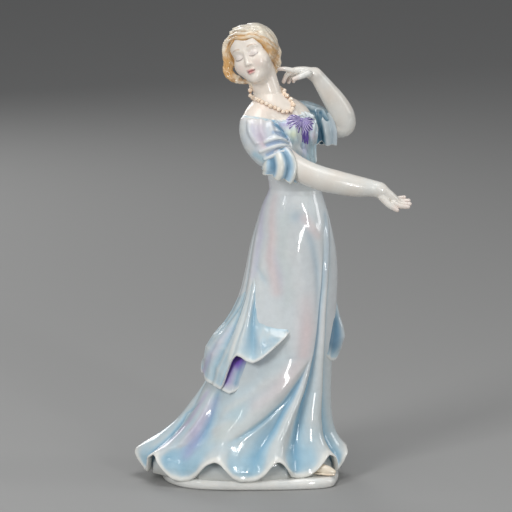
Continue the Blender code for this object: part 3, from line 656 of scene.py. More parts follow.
# ---------------------------------------------------------------- overskirt
FACE, RIM, BACK = 0, 1, 2  # parts of a drape
DRAPE_TOP, UNDERLAP_TOP = 120.0, 88.0
SWELL = 0.45  # how far a drape's edge swells


def make_drape(name, nodes, degrees, foot, stand, colour_of, top=DRAPE_TOP, roll=1.05):
    """A hanging layer: it grows out of the skirt where its stand passes nought and ends in a rolled edge."""
    t = np.linspace(0, 1, int(170 / COARSE))[None, :]
    degrees, foot = degrees[:, None], foot[:, None]
    z = top + (foot + roll - top) * t
    out = stand(degrees + 0 * z, z) + skirt_relief(degrees + 0 * z, z) * smooth(58, 88, z)
    rim = (z - foot - roll) / 1.9
    outer = on_skirt(degrees, z, out + SWELL * np.exp(-rim * rim))
    lip = out[:, -1:] + SWELL
    turn = LIP_TURNS[None]
    edge = on_skirt(degrees, foot + roll - roll * np.sin(turn), lip - roll + roll * np.cos(turn))
    back_t = np.linspace(1, 0.02, 50)[None, 1:]
    back_z = top + (foot + roll - top) * back_t
    back = np.array([np.interp(back_t[0], t[0], row) for row in out]) - 2 * roll + SWELL
    inside = on_skirt(degrees, back_z, back)
    points, faces = loft(np.concatenate([outer, edge, inside], 1))

    def each(face, rim, back):
        """One value a point of the three parts, from an array or a number for each."""
        sizes = t.shape[1], turn.shape[1], back_t.shape[1]
        parts = [np.broadcast_to(v, (len(degrees), n)) for v, n in zip((face, rim, back), sizes)]
        return padded(np.concatenate(parts, 1))

    tone = each(pooled(out.T, (14 / COARSE, 12 / COARSE)).T, -0.6, 0.6)
    above = each(z - foot, 0.0, back_z - foot)
    colour = colour_of(points, each(degrees, degrees, degrees), points[:, 2], tone, each(FACE, RIM, BACK),
                       above)
    piece(name, points, faces, colour, GLAZE_BLUE, nodes)


def edge_at(degrees, rows, blur=7):
    """The height of a drape's edge at each angle, its corners rounded off."""
    foot = np.interp(degrees, *np.array(sorted(rows)).T)
    weight = np.exp(-(np.linspace(-1, 1, blur) ** 2))
    return np.convolve(np.pad(foot, blur // 2, mode="edge"), weight / weight.sum(), "valid")


def drape_paint(tone, part, above):
    """White ridges and edge, blue in the hollows."""
    base = over(PORCELAIN, PALE_BLUE, 0.1 + 0.9 * smooth(-0.5, 0.35, tone))
    base = over(base, MID_BLUE, 0.85 * smooth(0.1, 1.1, tone))
    white = np.maximum(part == RIM, smooth(3.0, 1.2, above) * (part == FACE))
    return over(base, PORCELAIN, white * 0.95)


# The near drape's lower edge as it shows from the front: across, up, stand off the skirt
NEAR_EDGE = (
    (-25.4, 60, 3), (-24.2, 56.5, 2.5), (-22, 54.4, 2.5), (-19, 53, 3), (-17, 52, 3), (-15.6, 51.4, 4),
    (-14.6, 54, 4.5), (-13.6, 58.5, 5.5), (-12.3, 63, 6), (-10.2, 68.2, 7), (-7.2, 71.2, 7.2),
    (-4.6, 70.2, 7), (-2, 67.8, 7), (2, 66.4, 7), (7, 68.8, 7), (12, 72.8, 6), (17, 77.2, 4.6),
    (20.6, 80.6, 3), (23, 83, 1.6), (24.4, 85, 0),
)
NEAR_STAND = (
    side_line(-178, (60, 5.5), (80, 4.5), (96, 2), (108, 0), (116, -1.5)),
    side_line(-150, (60, 8), (80, 6), (96, 3), (108, 0.5), (116, -1.5)),
    side_line(-124, (60, 4.5), (80, 3.6), (96, 1.4), (108, 0), (116, -1.5)),
    side_line(-104, (56, 6), (66, 7.4), (76, 7.4), (86, 4), (96, 1), (106, 0), (116, -1.5)),
    side_line(-84, (53, 1.8), (58, 2.6), (64, 4.6), (70, 7), (76, 8), (83, 6.2), (91, 2.4), (97, 0.8),
              (104, 0.1), (116, -1.5)),
    drape_line((-23.6, 56, 2.8), (-22.6, 64, 4.6), (-21, 72, 6.4), (-17.4, 79, 6.0), (-11, 87.6, 3.4),
               (-6, 96, 1.2), (-2, 106, 0.3), (0, 117, -1.5)),
    drape_line((-21, 54, 2.0), (-18.6, 64, 3.2), (-13.6, 75, 3.8), (-8.8, 84.6, 2.4), (-4, 96, 0.8),
               (-0.6, 106, 0.1), (1, 117, -1.5)),
    drape_line((-19, 53, 3.2), (-17, 62, 4.8), (-12.2, 73, 5.4), (-7.9, 83, 4.0), (-3.2, 95, 1.8),
               (0.2, 106, 0.6), (1.8, 117, -1.3)),
    drape_line((-15.2, 51, 4.2), (-13.6, 60, 5.6), (-10, 70, 6.6), (-6.8, 79, 5.4), (-3.4, 88, 3.6),
               (-1, 97, 2.2), (1.2, 107, 1.0), (2.8, 117, -0.9)),
    drape_line((-6.6, 71.4, 7.6), (-4.8, 79, 6.6), (-2.2, 88, 4.6), (-0.2, 95, 3.4), (1.6, 104, 2.0),
               (3.2, 114, 0.4), (3.6, 120, -0.9)),
    drape_line((2.2, 66.6, 6.8), (2.6, 72, 4.6), (3, 80, 2.4), (3.4, 88, 1.0), (4, 96, 0.2), (4.6, 106, -0.6),
               (5, 116, -1.3)),
    drape_line((8, 69.4, 7.0), (7.8, 75, 5.4), (7.2, 82, 3.0), (7, 88, 0.6), (7, 93, -1.2), (7, 110, -1.5)),
    drape_line((13, 73.8, 6.0), (12.8, 78.4, 4.8), (12.4, 83.4, 2.4), (12, 87, 0.3), (12, 91, -1.3),
               (12, 110, -1.5)),
    drape_line((18, 78.4, 4.4), (17.8, 82, 3.2), (17.6, 84.8, 1.4), (17.4, 87, -0.3), (17.4, 90, -1.4),
               (17.4, 110, -1.5)),
    drape_line((21.6, 81.6, 3.0), (21.6, 84, 1.8), (21.6, 86, 0.2), (21.6, 88.4, -1.4), (21.6, 110, -1.5)),
    drape_line((24.6, 84, -1.6), (24.6, 90, -1.8), (24.6, 110, -1.8)),
)


NEAR_SIDE_EDGE = (
    (-178, 74), (-166, 70), (-150, 64), (-138, 70), (-124, 79), (-112, 74), (-100, 66), (-92, 60),
)
# Strokes over its folds: across, up, amount, width
NEAR_LILAC = ((-24, 58, 0.9, 3), (-22, 62, 0.8, 3), (-14, 74, 0.35, 3), (-8, 86, 0.2, 3))
NEAR_BLUE = ((3.2, 112, 0.3, 2), (3.2, 92, 0.8, 2.6), (4, 78, 0.9, 4), (8, 77, 0.7, 4), (14, 80, 0.6, 3))
NEAR_WHITE = ((2.2, 119, 0.9, 1.6), (0.4, 100, 0.9, 2), (-2.2, 86, 0.9, 2.4), (-5, 75, 0.9, 2.6))
# The turned under end of the drape, which shows inside its open fold: its edge as above, and lines across, up
UNDERLAP_EDGE = (
    (-17.6, 54, 2), (-15.6, 50.8, 3), (-12.4, 48.6, 4), (-9, 49.6, 4), (-6.4, 52.2, 4), (-4.4, 56, 4),
    (-3, 61, 4), (-1.6, 66.5, 3.5), (0, 70, 3),
)
# Blue lines of painted shadow on the right of the turned under end, where it passes into the skirt: most,
# then across and up, width
UNDERLAP_PAINTED_SHADOW = ((0.6, ((-3.6, 67), (-5.4, 61), (-7, 55)), 1.5), (0.5, ((-0.6, 66), (-2, 60)), 1.4))
CRESCENT = ((((-3, 72), (-7, 69.4), (-11, 63.5), (-13.6, 57.5)), 2.9), (((-2.6, 71), (-6.4, 66.6)), 3.6))


def near_drape():
    front = [seen(x, h, out) for x, h, out in NEAR_EDGE]
    degrees = np.linspace(-178, front[-1][0], int(460 / COARSE))
    foot = edge_at(degrees, [*NEAR_SIDE_EDGE, *front])

    def stand(deg, z):
        return fold_height(NEAR_STAND, turned(deg), z, 0.9, start=-180)

    def colour(_points, deg, z, tone, part, above):
        base = drape_paint(tone, part, above)
        face = part == FACE
        base = over(base, LILAC, 0.85 * np.abs(front_stroke(deg, z, *NEAR_LILAC)) * face)
        blue = np.abs(front_stroke(deg, z, *NEAR_BLUE))
        base = over(base, MID_BLUE, 0.55 * blue * face * smooth(1.5, 4, above))
        base = over(base, PORCELAIN, 0.8 * np.abs(front_stroke(deg, z, *NEAR_WHITE)) * face)
        return over(base, linear(128, 92, 190), (part == BACK) * 0.8 * smooth(84, 76, z))

    make_drape("near_drape_folds", ("overskirt_near",), degrees, foot, stand, colour)
    rows = [seen(x, h, out) for x, h, out in UNDERLAP_EDGE]
    degrees = np.linspace(rows[0][0], rows[-1][0], int(110 / COARSE))
    foot = edge_at(degrees, rows)
    span = (degrees[0], degrees[0] + 7, degrees[-1] - 7, degrees[-1] - 0.5)

    def under_stand(deg, z):
        return np.interp(deg, span, (2.0, 2.2, 1.8, -0.8)) * smooth(86, 66, z) - 0.8 * smooth(70, 86, z)

    def under_colour(points, _deg, _z, _tone, part, above):
        x, h = points[:, 0], shown_height(points)
        base = over(linear(188, 184, 210), linear(196, 208, 218), smooth(-12, -4, x))
        base = over(base, linear(206, 214, 216), 0.8 * smooth(57, 51, h))
        # painted shadow in blue down its right side
        for most, stops, wide in UNDERLAP_PAINTED_SHADOW:
            base = over(base, MID_BLUE, most * near_line(x, h, stops, wide))
        crescent = np.max([near_line(x, h, *line) for line in CRESCENT], axis=0)
        base = over(base, linear(120, 78, 184), 0.95 * crescent)
        return over(base, PORCELAIN, 0.9 * smooth(2.6, 1.0, above) * (part < BACK) * smooth(58, 53, h))

    make_drape("near_drape_underlap", (), degrees, foot, under_stand, under_colour, UNDERLAP_TOP, 0.9)


FAR_STAND = (
    side_line(64, (60, -1.5), (118, -1.5)),
    np.array([(74, 66, 0.4), (74, 80, 0.8), (76, 92, 0.2), (76, 100, -0.8), (76, 118, -1.5)]),
    side_line(86, (68, 2.4), (74, 4.2), (82, 6.2), (88, 4.6), (94, 2.2), (101, 0.3), (110, -0.8),
              (118, -1.5)),
    side_line(98, (76, 5.0), (84, 5.0), (94, 2.4), (104, 0.4), (118, -1.5)),
    side_line(112, (70, 8.6), (84, 6.0), (96, 3.0), (108, 0.4), (118, -1.5)),
    side_line(128, (70, 5.0), (84, 4.0), (96, 1.8), (108, 0), (118, -1.5)),
    side_line(146, (64, 8.6), (80, 6.4), (96, 3.0), (108, 0.5), (118, -1.5)),
    side_line(164, (66, 5.0), (80, 4.0), (96, 1.6), (108, 0), (118, -1.5)),
    side_line(184, (66, 6.5), (80, 5), (96, 2), (108, 0), (118, -1.5)),
)


FAR_EDGE = (
    (66, 72), (76, 68.4), (82, 68), (87, 71), (91, 77.5), (96, 82), (102, 82), (112, 77), (120, 80),
    (128, 82), (141, 72), (154, 66), (168, 71), (182, 75),
)


def far_drape():
    degrees = np.linspace(66, 182, int(260 / COARSE))
    foot = edge_at(degrees, FAR_EDGE, 9)

    def stand(deg, z):
        return fold_height(FAR_STAND, deg, z, 0.9)

    def colour(_points, deg, z, tone, part, above):
        base = drape_paint(tone, part, above)
        hollow = smooth(87, 77, deg) * smooth(102, 90, z) * (part == FACE) * smooth(1, 9, above)
        base = over(base, linear(88, 132, 162), hollow * 0.85)
        return over(base, MID_BLUE, (part == BACK) * 0.8)

    make_drape("far_drape_folds", ("overskirt_far",), degrees, foot, stand, colour)


near_drape()
far_drape()


# ---------------------------------------------------------------- plinth and shoe
PLINTH = (
    (51.3, -20), (47, -31.5), (30, -37), (0, -39.3), (-25, -37), (-38, -31), (-46.5, -19), (-50.3, -3),
    (-47.5, 14), (-36, 28), (-10, 37), (20, 38.5), (42, 33), (50, 18), (52, -1),
)


# Rings up the plinth: height, how far inside the outline
PLINTH_RINGS = (
    (0, 4.4), (0, 1.8), (0.5, 0.9), (1.2, 0.45), (2.2, 0.12), (3, 0), (3.8, 0.12), (4.6, 0.5), (5.2, 0.95),
    (5.7, 1.7), (5.95, 2.6), (6, 3.6), (6, 8),
)


def make_plinth():
    outline = curve(PLINTH, 20, closed=True)
    middle = outline.mean(0)
    away = outline - middle
    away = away / np.linalg.norm(away, axis=1)[:, None]
    rings = []
    wobble = 0.12 * np.sin(np.linspace(0, 14 * math.pi, len(outline)))
    for z, inset in PLINTH_RINGS:
        ring = outline - away * (inset + 0.15 + wobble * (0.2 < z < 5.9))[:, None]
        rings.append(np.column_stack([ring, np.full(len(ring), z)]))
    points, faces = loft(np.array(rings))
    shade = smooth(-0.3, 0.8, ripple(points, 6.0))
    colour = over(linear(236, 235, 230), PALE_BLUE, 0.02 + 0.08 * shade)
    piece("plinth_cast", points, faces, colour, GLAZE_WHITE, ("base_plinth",))


def make_shoe():
    solid = Solid((30, -34, 2), (54, -16, 16), 0.3)
    solid.tube(((35, -22.5, 9.8, 2.9), (40, -24.2, 10.0, 3.4), (44.6, -25.8, 9.4, 3.0),
                (48.4, -26.8, 8.4, 1.8)), squash=((0, 0, 1), 0.9))
    solid.tube(((38, -27.4, 7.6, 0.45), (42, -28.2, 7.4, 0.45), (46, -28.6, 7.0, 0.45),
                (49.4, -28.0, 6.9, 0.4)), k=0.5)
    points, faces = solid.mesh()
    colour = over(linear(238, 226, 206), linear(200, 160, 120), smooth(7.9, 6.6, points[:, 2]) * 0.5)
    piece("shoe_toe", points, faces, colour, CREAM, ("right_shoe",))


make_plinth()
make_shoe()


# ---------------------------------------------------------------- body
# height, then the middle, half width and half depth of the body
TORSO = (
    (158, 26.8, 15.4, 15.0), (164, 26.8, 15.2, 14.8), (169, 26.6, 14.9, 14.0), (173, 25.8, 15.0, 13.2),
    (178, 24.8, 15.3, 12.6), (184, 23.4, 16.0, 12.6), (192, 21.8, 17.8, 13), (200, 20.5, 19.4, 13.2),
    (207, 19.5, 20.2, 13.2), (212.5, 18, 19.4, 12.2), (216.5, 16.2, 16.2, 10.6), (219.5, 14.4, 12.0, 9.2),
    (222, 13, 8.8, 8.2),
)
NECK = (
    (13.6, 0, 213, 6.2), (13.0, 0, 218.2, 6.8), (11.4, 0, 222.4, 7.6), (9.8, 0.4, 227, 7.8),
    (7.2, 1, 236, 7.8),
)


def bodice_edge(x):
    """How high the dress reaches in front, as it shows from 10 degrees above."""
    return np.interp(x, (-6, 4, 14, 20, 28, 33, 40), (209.6, 208.2, 206.4, 206.2, 207.8, 209.4, 210))


def torso_solid():
    """The body in its dress without folds. Its cross-sections are turned by 45 degrees."""
    solid = Solid((-8, -30, 158), (50, 26, 226), 0.42)
    x, y, z = solid.everywhere()
    rows = curve(TORSO, 12)
    cx, wide, deep = [np.interp(z, rows[:, 0], rows[:, i]) for i in (1, 2, 3)]
    half = math.sqrt(0.5)
    across = (x - cx) * half + y * half
    ahead = (x - cx) * half - y * half
    ring = (np.sqrt((across / wide) ** 2 + (ahead / deep) ** 2) - 1) * (wide + deep) / 2 * 0.9
    # the waist takes the skirt's own outline, a little proud of it, and ends inside it
    middle_x, half_x, middle_y, half_y = section(z)
    waist = (np.sqrt(((x - middle_x) / half_x) ** 2 + ((y - middle_y) / half_y) ** 2) - 1) * half_y
    waist = waist - 0.3 * smooth(168, 175, z) + 0.7 * smooth(170, 161, z)
    ring = ring + (waist - ring) * smooth(177, 167, z)
    solid.field = soft_max(ring, z - 221.5, 3.0).astype(np.float32)
    solid.egg((32.4, -3.4, 201.8), (7.2, 6.8, 7.4), 5.0)
    solid.egg((22.0, -12.4, 201.6), (7.0, 6.6, 7.4), 5.0)
    solid.tube(((11.0, -4.0, 213.5, 7.0), (6.0, -12.5, 209.6, 8.6), (5.0, -18.0, 204.5, 9.2)), 5.0)
    solid.tube(NECK, 4.5)
    # collar bones
    solid.tube(((9.6, -5.4, 218.6, 1.2), (6.0, -9.6, 216.6, 1.2), (2.6, -13.4, 214.2, 1.0)), 3.0)
    solid.tube(((14.6, -6.4, 218.2, 1.2), (20.0, -8.8, 214.8, 1.2), (26.6, -6.4, 213.0, 1.0)), 3.0)
    return solid


# Folds and furrows of the bodice, from the near sleeve and the bow to the waist: thickness, then across, up
BODICE_FOLDS = (
    (0.9, (14.6, 206), (17.4, 202.4), (20.6, 198.8), (23.6, 194.6)),
    (0.8, (24.4, 191), (25.4, 186), (26.2, 180)),
    (0.9, (25.4, 204), (26.4, 198), (28, 191.6), (31.4, 186.4), (35.4, 183)),
    (0.8, (25, 193.4), (27.4, 190.4), (30.4, 188.6), (33.4, 184.6)),
    (0.7, (37, 204), (36.2, 196), (36.2, 188), (36.8, 181)),
    (0.8, (31.2, 192), (32.6, 187), (33.4, 181)),
    (0.6, (38.6, 199), (38, 191), (38.4, 184)),
)
BODICE_FURROWS = (
    (0.8, (15.2, 203.4), (18, 199.8), (21, 196.6)), (0.7, (28, 199), (29.4, 193), (30.6, 188)),
    (0.7, (34.4, 196), (34.6, 189), (35.4, 182)),
)
# Lines painted in them
THIN_BLUE = linear(140, 184, 200)
BODICE_LINES = (
    (MID_BLUE, 0.9, ((14.6, 205.6), (17.6, 201.4), (21.8, 197), (24, 193))),
    (THIN_BLUE, 0.6, ((24.4, 198), (25.4, 194))),
    (THIN_BLUE, 0.6, ((31, 193), (33.4, 188), (34.6, 181))),
    (THIN_BLUE, 0.6, ((36.6, 201), (36, 192), (37.6, 182))),
)
# Soft patches of colour: across, up, half width, half height, tint, amount
DABS = (
    (25.4, 198.4, 2.4, 2.8, linear(224, 228, 196), 0.85),
    # painted light: this white patch lifts the shade between the near arm and the bodice
    (26.5, 190.4, 3.4, 2.6, PORCELAIN, 0.7),
    (32.4, 190, 2.2, 4.0, LILAC, 0.55),
    (20.6, 203.8, 4.6, 2.0, LILAC, 0.6),
    (36.8, 197.6, 2.0, 3.4, linear(222, 206, 218), 0.7),
    (35.6, 188, 2.4, 7.0, linear(176, 200, 208), 0.7),
    (24, 205.6, 9.0, 0.8, linear(206, 226, 236), 0.6),
)


def make_torso():
    """Makes the bodice, and returns the body without its folds for what lies on it."""
    solid = torso_solid()
    bare = solid.copy()
    for folds, lift, blend, cut in ((BODICE_FOLDS, 0.25, 1.7, False), (BODICE_FURROWS, 0.5, 1.2, True)):
        for radius, *row in folds:
            route = [(*bare.seen(x, h, lift), radius) for x, h in curve(row, 5)]
            solid.tube(route, blend, spans=2, cut=cut)
    # the dress lies a little proud of the skin, and the neck passes into the head's piece
    x, y, z = solid.everywhere()
    solid.field = solid.field + (0.3 * smooth(216, 224, z)).astype(np.float32)
    dress = np.clip((bodice_edge(x) - (z + VIEW_SLOPE * y)) / 0.5, 0, 1)
    solid.field = soft_max(solid.field - 0.35 * dress, z - 223, 0.3).astype(np.float32)
    points, faces = solid.mesh()
    x, y, z = points.T
    h = shown_height(points)
    skin = smooth(-0.35, 0.35, h - bodice_edge(x) - 0.1)
    front = (y < 2).astype(float)
    colour = over(PORCELAIN, linear(196, 216, 224), 0.5 + 0.4 * ripple(points * (1, 1, 0.4), 3.0))
    streak = np.clip(ripple(points * (1.6, 1.6, 0.2), 3.0, 1.0), 0, 1)
    colour = over(colour, PALE_BLUE, 0.9 * streak)
    for tint, amount, stops in BODICE_LINES:
        colour = over(colour, tint, amount * near_line(x, h, stops, 1.2) * front)
    for cx, ch, wide, tall, tint, amount in DABS:
        share = np.exp(-(((x - cx) / wide) ** 2) - (((h - ch) / tall) ** 2)) * front * amount
        colour = over(colour, tint, share)
    # the waist takes the skirt's own colour
    middle_x, half_x, middle_y, half_y = section(z)
    turn = np.degrees(np.arctan2((x - middle_x) / half_x, -(y - middle_y) / half_y))
    flat = np.zeros(len(x))
    waist = skirt_colour(points, turn, np.minimum(z, 168), flat - 0.1, flat + 90)
    colour = over(colour, waist, smooth(182, 173, z))
    colour = over(colour, PALE_SKIN, skin)
    blush = np.exp(-(((x - 8) / 9) ** 2) - (((h - 213) / 5) ** 2)) * front
    colour = over(colour, linear(244, 226, 212), 0.5 * blush * skin)
    piece("bodice", points, faces, colour, SKIN, ("torso",))
    return bare


bare_torso = make_torso()


# ---------------------------------------------------------------- head
HEAD_CENTRE = np.array((2.4, -1.0, 245.2))
HEAD_TURN = np.array(Euler((math.radians(-4), math.radians(-22), math.radians(-20)), "YXZ").to_matrix())


def from_head(points):
    return points @ HEAD_TURN.T + HEAD_CENTRE


def to_head(points):
    return (np.asarray(points, float) - HEAD_CENTRE) @ HEAD_TURN


def make_head():
    solid = Solid((-14, -18, -36), (22, 20, 20), 0.3)
    solid.egg((0, 2.5, 5), (11.2, 13.0, 12))
    solid.egg((0, -2.5, -4.5), (10.0, 9.5, 12.3), 3)
    solid.egg((0, -6.5, -12.6), (5.0, 4.9, 3.8), 3)
    solid.egg((0, -9.2, -14.2), (2.3, 2.2, 2.1), 2.5)
    for side in (-1, 1):
        solid.egg((side * 5.4, -6.9, -5.4), (4.4, 4.3, 4.8), 3)
    solid.egg((0, -5.6, 5), (9, 5.2, 5.6), 4)
    for side in (-1, 1):
        solid.egg((side * 4.4, -13.3, -0.1), (3.1, 1.9, 2.1), 2.4, cut=True)
        solid.egg((side * 4.4, -9.6, -0.8), (2.6, 1.9, 1.8), 0.7)
        solid.tube(((side * 2.0, -11.0, -1.5, 0.25), (side * 4.4, -11.5, -2.1, 0.32),
                    (side * 6.8, -9.9, -1.4, 0.25)), 0.3)
        solid.tube(((side * 2.4, -10.9, 2.9, 0.4), (side * 4.6, -10.9, 3.8, 0.4),
                    (side * 7.2, -9.3, 3.0, 0.3)), 1.5)
        solid.egg((side * 1.25, -11.8, -6.1), (0.95, 1.1, 0.8), 0.8)
        solid.egg((side * 10.7, 1.2, -2), (1.3, 2.6, 3.4), 0.8)
        solid.egg((side * 11.9, 0.6, -1.6), (0.8, 1.4, 2.0), 0.5, cut=True)
    solid.tube(((0, -10.8, 2.0, 0.8), (0, -11.9, -2.2, 0.85), (0, -13.0, -5.3, 1.1)), 1.6)
    solid.egg((0, -13.0, -5.6), (1.2, 1.15, 1.05), 0.6)
    for side in (-1, 1):
        solid.egg((side * 0.65, -12.7, -6.8), (0.4, 0.5, 0.35), 0.4, cut=True)
        solid.egg((side * 1.0, -11.9, -9.3), (1.55, 1.05, 0.65), 0.6)
    solid.egg((0, -11.9, -10.9), (1.8, 1.15, 0.85), 0.6)
    solid.tube(((-2.4, -10.9, -9.95, 0.25), (-1.1, -12.7, -10.1, 0.26), (0, -12.9, -10.25, 0.26),
                (1.1, -12.7, -10.1, 0.26), (2.4, -10.9, -9.95, 0.25)), 0.3, cut=True)
    solid.tube([(*to_head(row[:3]), row[3]) for row in curve(NECK, 6)], 3.0, spans=1)
    points, faces = solid.mesh()
    x, y, z = points.T
    side = np.abs(x)
    cheek = np.exp(-(((side - 5.6) / 3.0) ** 2) - (((z + 6.5) / 2.6) ** 2)) * (y < -5)
    colour = over(PALE_SKIN, BLUSH, 0.35 * cheek)
    lip = np.exp(-((x / 2.1) ** 4) - (((z + 10.15) / 1.35) ** 4)) * (y < -10.9)
    colour = over(colour, linear(208, 132, 130), 0.85 * lip)
    gap = np.exp(-((x / 2.2) ** 4) - (((z + 10.1) / 0.3) ** 2)) * (y < -10.5)
    colour = over(colour, linear(140, 70, 76), 0.8 * gap)
    brow_z = 4.1 - ((side - 4.6) / 3.6) ** 2 * 1.1
    brow = np.exp(-(((z - brow_z) / 0.42) ** 2)) * smooth(1.9, 2.8, side) * smooth(8.2, 6.8, side) * (y < -6)
    colour = over(colour, linear(176, 142, 112), 0.6 * brow)
    lash_z = -2.1 + ((side - 4.4) / 2.6) ** 2 * 0.75
    lash = np.exp(-(((z - lash_z) / 0.3) ** 2)) * smooth(1.6, 2.1, side) * smooth(7.4, 6.8, side) * (y < -7)
    colour = over(colour, linear(96, 74, 66), 0.8 * lash)
    lid = np.exp(-(((z + 0.4) / 1.7) ** 2) - (((side - 4.4) / 2.7) ** 2)) * (y < -8)
    colour = over(colour, linear(214, 204, 206), 0.45 * lid)
    piece("face_and_neck", from_head(points), faces, colour, SKIN, ("head",))


HAIR_MIDDLE = np.array((0.0, 3.2, 3.0))
HAIR_SIZE = np.array((12.8, 15.2, 13.4))
# Locks as they show from the front: thickness, then across, up
LOCKS = (
    (1.5, (-9.6, 252.4), (-6, 253.4), (-1.6, 253.2), (2.6, 254.4), (5.6, 252.6), (8.8, 250.6), (12.4, 249.2),
     (15.4, 247.6)),
    (1.5, (-10.2, 254.6), (-6, 255.6), (-1.4, 255.4), (2.8, 256.2), (6.4, 254.6), (9.6, 252.6), (13, 251.4),
     (16, 249.4)),
    (1.4, (-9.6, 257), (-5, 258), (-0.6, 257.6), (3.4, 258), (7, 256.6), (10.4, 254.6), (13.6, 252.8)),
    (1.3, (-8, 259), (-3.6, 260), (0.8, 259.6), (4.8, 259.4), (8.6, 257), (11.6, 254.8)),
    (1.5, (9.6, 249.6), (12.6, 248), (15.2, 246.8), (16.4, 244.6), (15.6, 242), (16.2, 239.4), (15.4, 236.6),
     (14.2, 233.6)),
    (1.4, (14, 251), (16.6, 248.6), (17.6, 245.6), (17, 242.6), (17.4, 239.6), (16.6, 236.6), (15, 233.6)),
    (1.3, (8.6, 250.4), (11, 247.8), (12.8, 246.2), (14, 244.8), (14.2, 242.6)),
    (1.5, (-8.6, 252.8), (-11, 250.4), (-12, 247), (-11.6, 243.4), (-11, 239.8), (-11.6, 236.4),
     (-10.4, 233.4), (-7.4, 231.2), (-4, 230.4)),
    (1.4, (-10.6, 254), (-12.8, 251), (-13.4, 247), (-13, 243), (-12.4, 239.4), (-13, 235.8), (-11.8, 232.6),
     (-8.6, 230), (-4.8, 228.8), (-1, 229)),
    (1.2, (-8, 251.6), (-9.8, 248.6), (-10.4, 245), (-9.8, 241.4), (-9.4, 238), (-9.4, 235), (-7.4, 232.6),
     (-5, 231.6)),
    (1.5, (-9.6, 234.6), (-8.6, 231.8), (-6, 230), (-2.8, 229), (0.4, 229), (2, 227)),
)


def over_hair(x, h, lift):
    """The point lift mm off the hair's ground that shows x across and h up, in the head's own frame."""
    depth = np.linspace(-24, 16, 500)
    line = to_head(np.stack([np.full(len(depth), x), depth, h - VIEW_SLOPE * depth], -1)) - HAIR_MIDDLE
    f = np.linalg.norm(line / HAIR_SIZE, axis=1) - 1
    inside = np.nonzero(f < 0)[0]
    i = inside[0] if len(inside) else int(np.argmin(f))
    point = line[i]
    return point + HAIR_MIDDLE + point / np.linalg.norm(point) * lift


# Down a lock of the back: degrees above the middle, thickness
BACK_LOCK = ((78, 0.8), (58, 1.6), (38, 2.0), (18, 2.1), (0, 2.1), (-18, 2.1), (-36, 1.9), (-50, 1.0))


def back_locks():
    """Waved locks from the crown down the back and sides to the nape, in the head's own frame."""
    locks = []
    for i, turn in enumerate(np.radians(np.linspace(62, 298, 17))):
        lock = []
        for j, (up, thick) in enumerate(BACK_LOCK):
            up = math.radians(up)
            a = turn + 0.09 * math.sin(1.5 * j + 0.5 * i)
            ray = np.array((math.sin(a) * math.cos(up), -math.cos(a) * math.cos(up), math.sin(up)))
            reach = 1 / np.linalg.norm(ray / HAIR_SIZE) - 0.3 + 0.12 * math.sin(1.6 * j + 0.6 * i)
            lock.append((*(HAIR_MIDDLE + ray * reach), thick))
        locks.append(lock)
    return locks


# Darker brush strokes over the waves: across and up as they show from the front
HAIR_STROKES = (
    ((0, 255.6), (5, 255), (10.4, 253.2), (16.6, 248.8)),
    ((6.4, 251.8), (11.6, 250), (15.8, 246), (17.4, 243)),
    ((11.4, 247.4), (13.6, 244), (17, 241.6)),
    ((13, 242.4), (14.4, 239), (16.6, 236.6)),
    ((-2, 254.6), (-6.4, 254), (-10.6, 250.6), (-12.4, 246)),
    ((-11, 247), (-11.6, 241), (-10.4, 236)),
    ((-13, 243), (-12.6, 237), (-9, 231.6)),
)


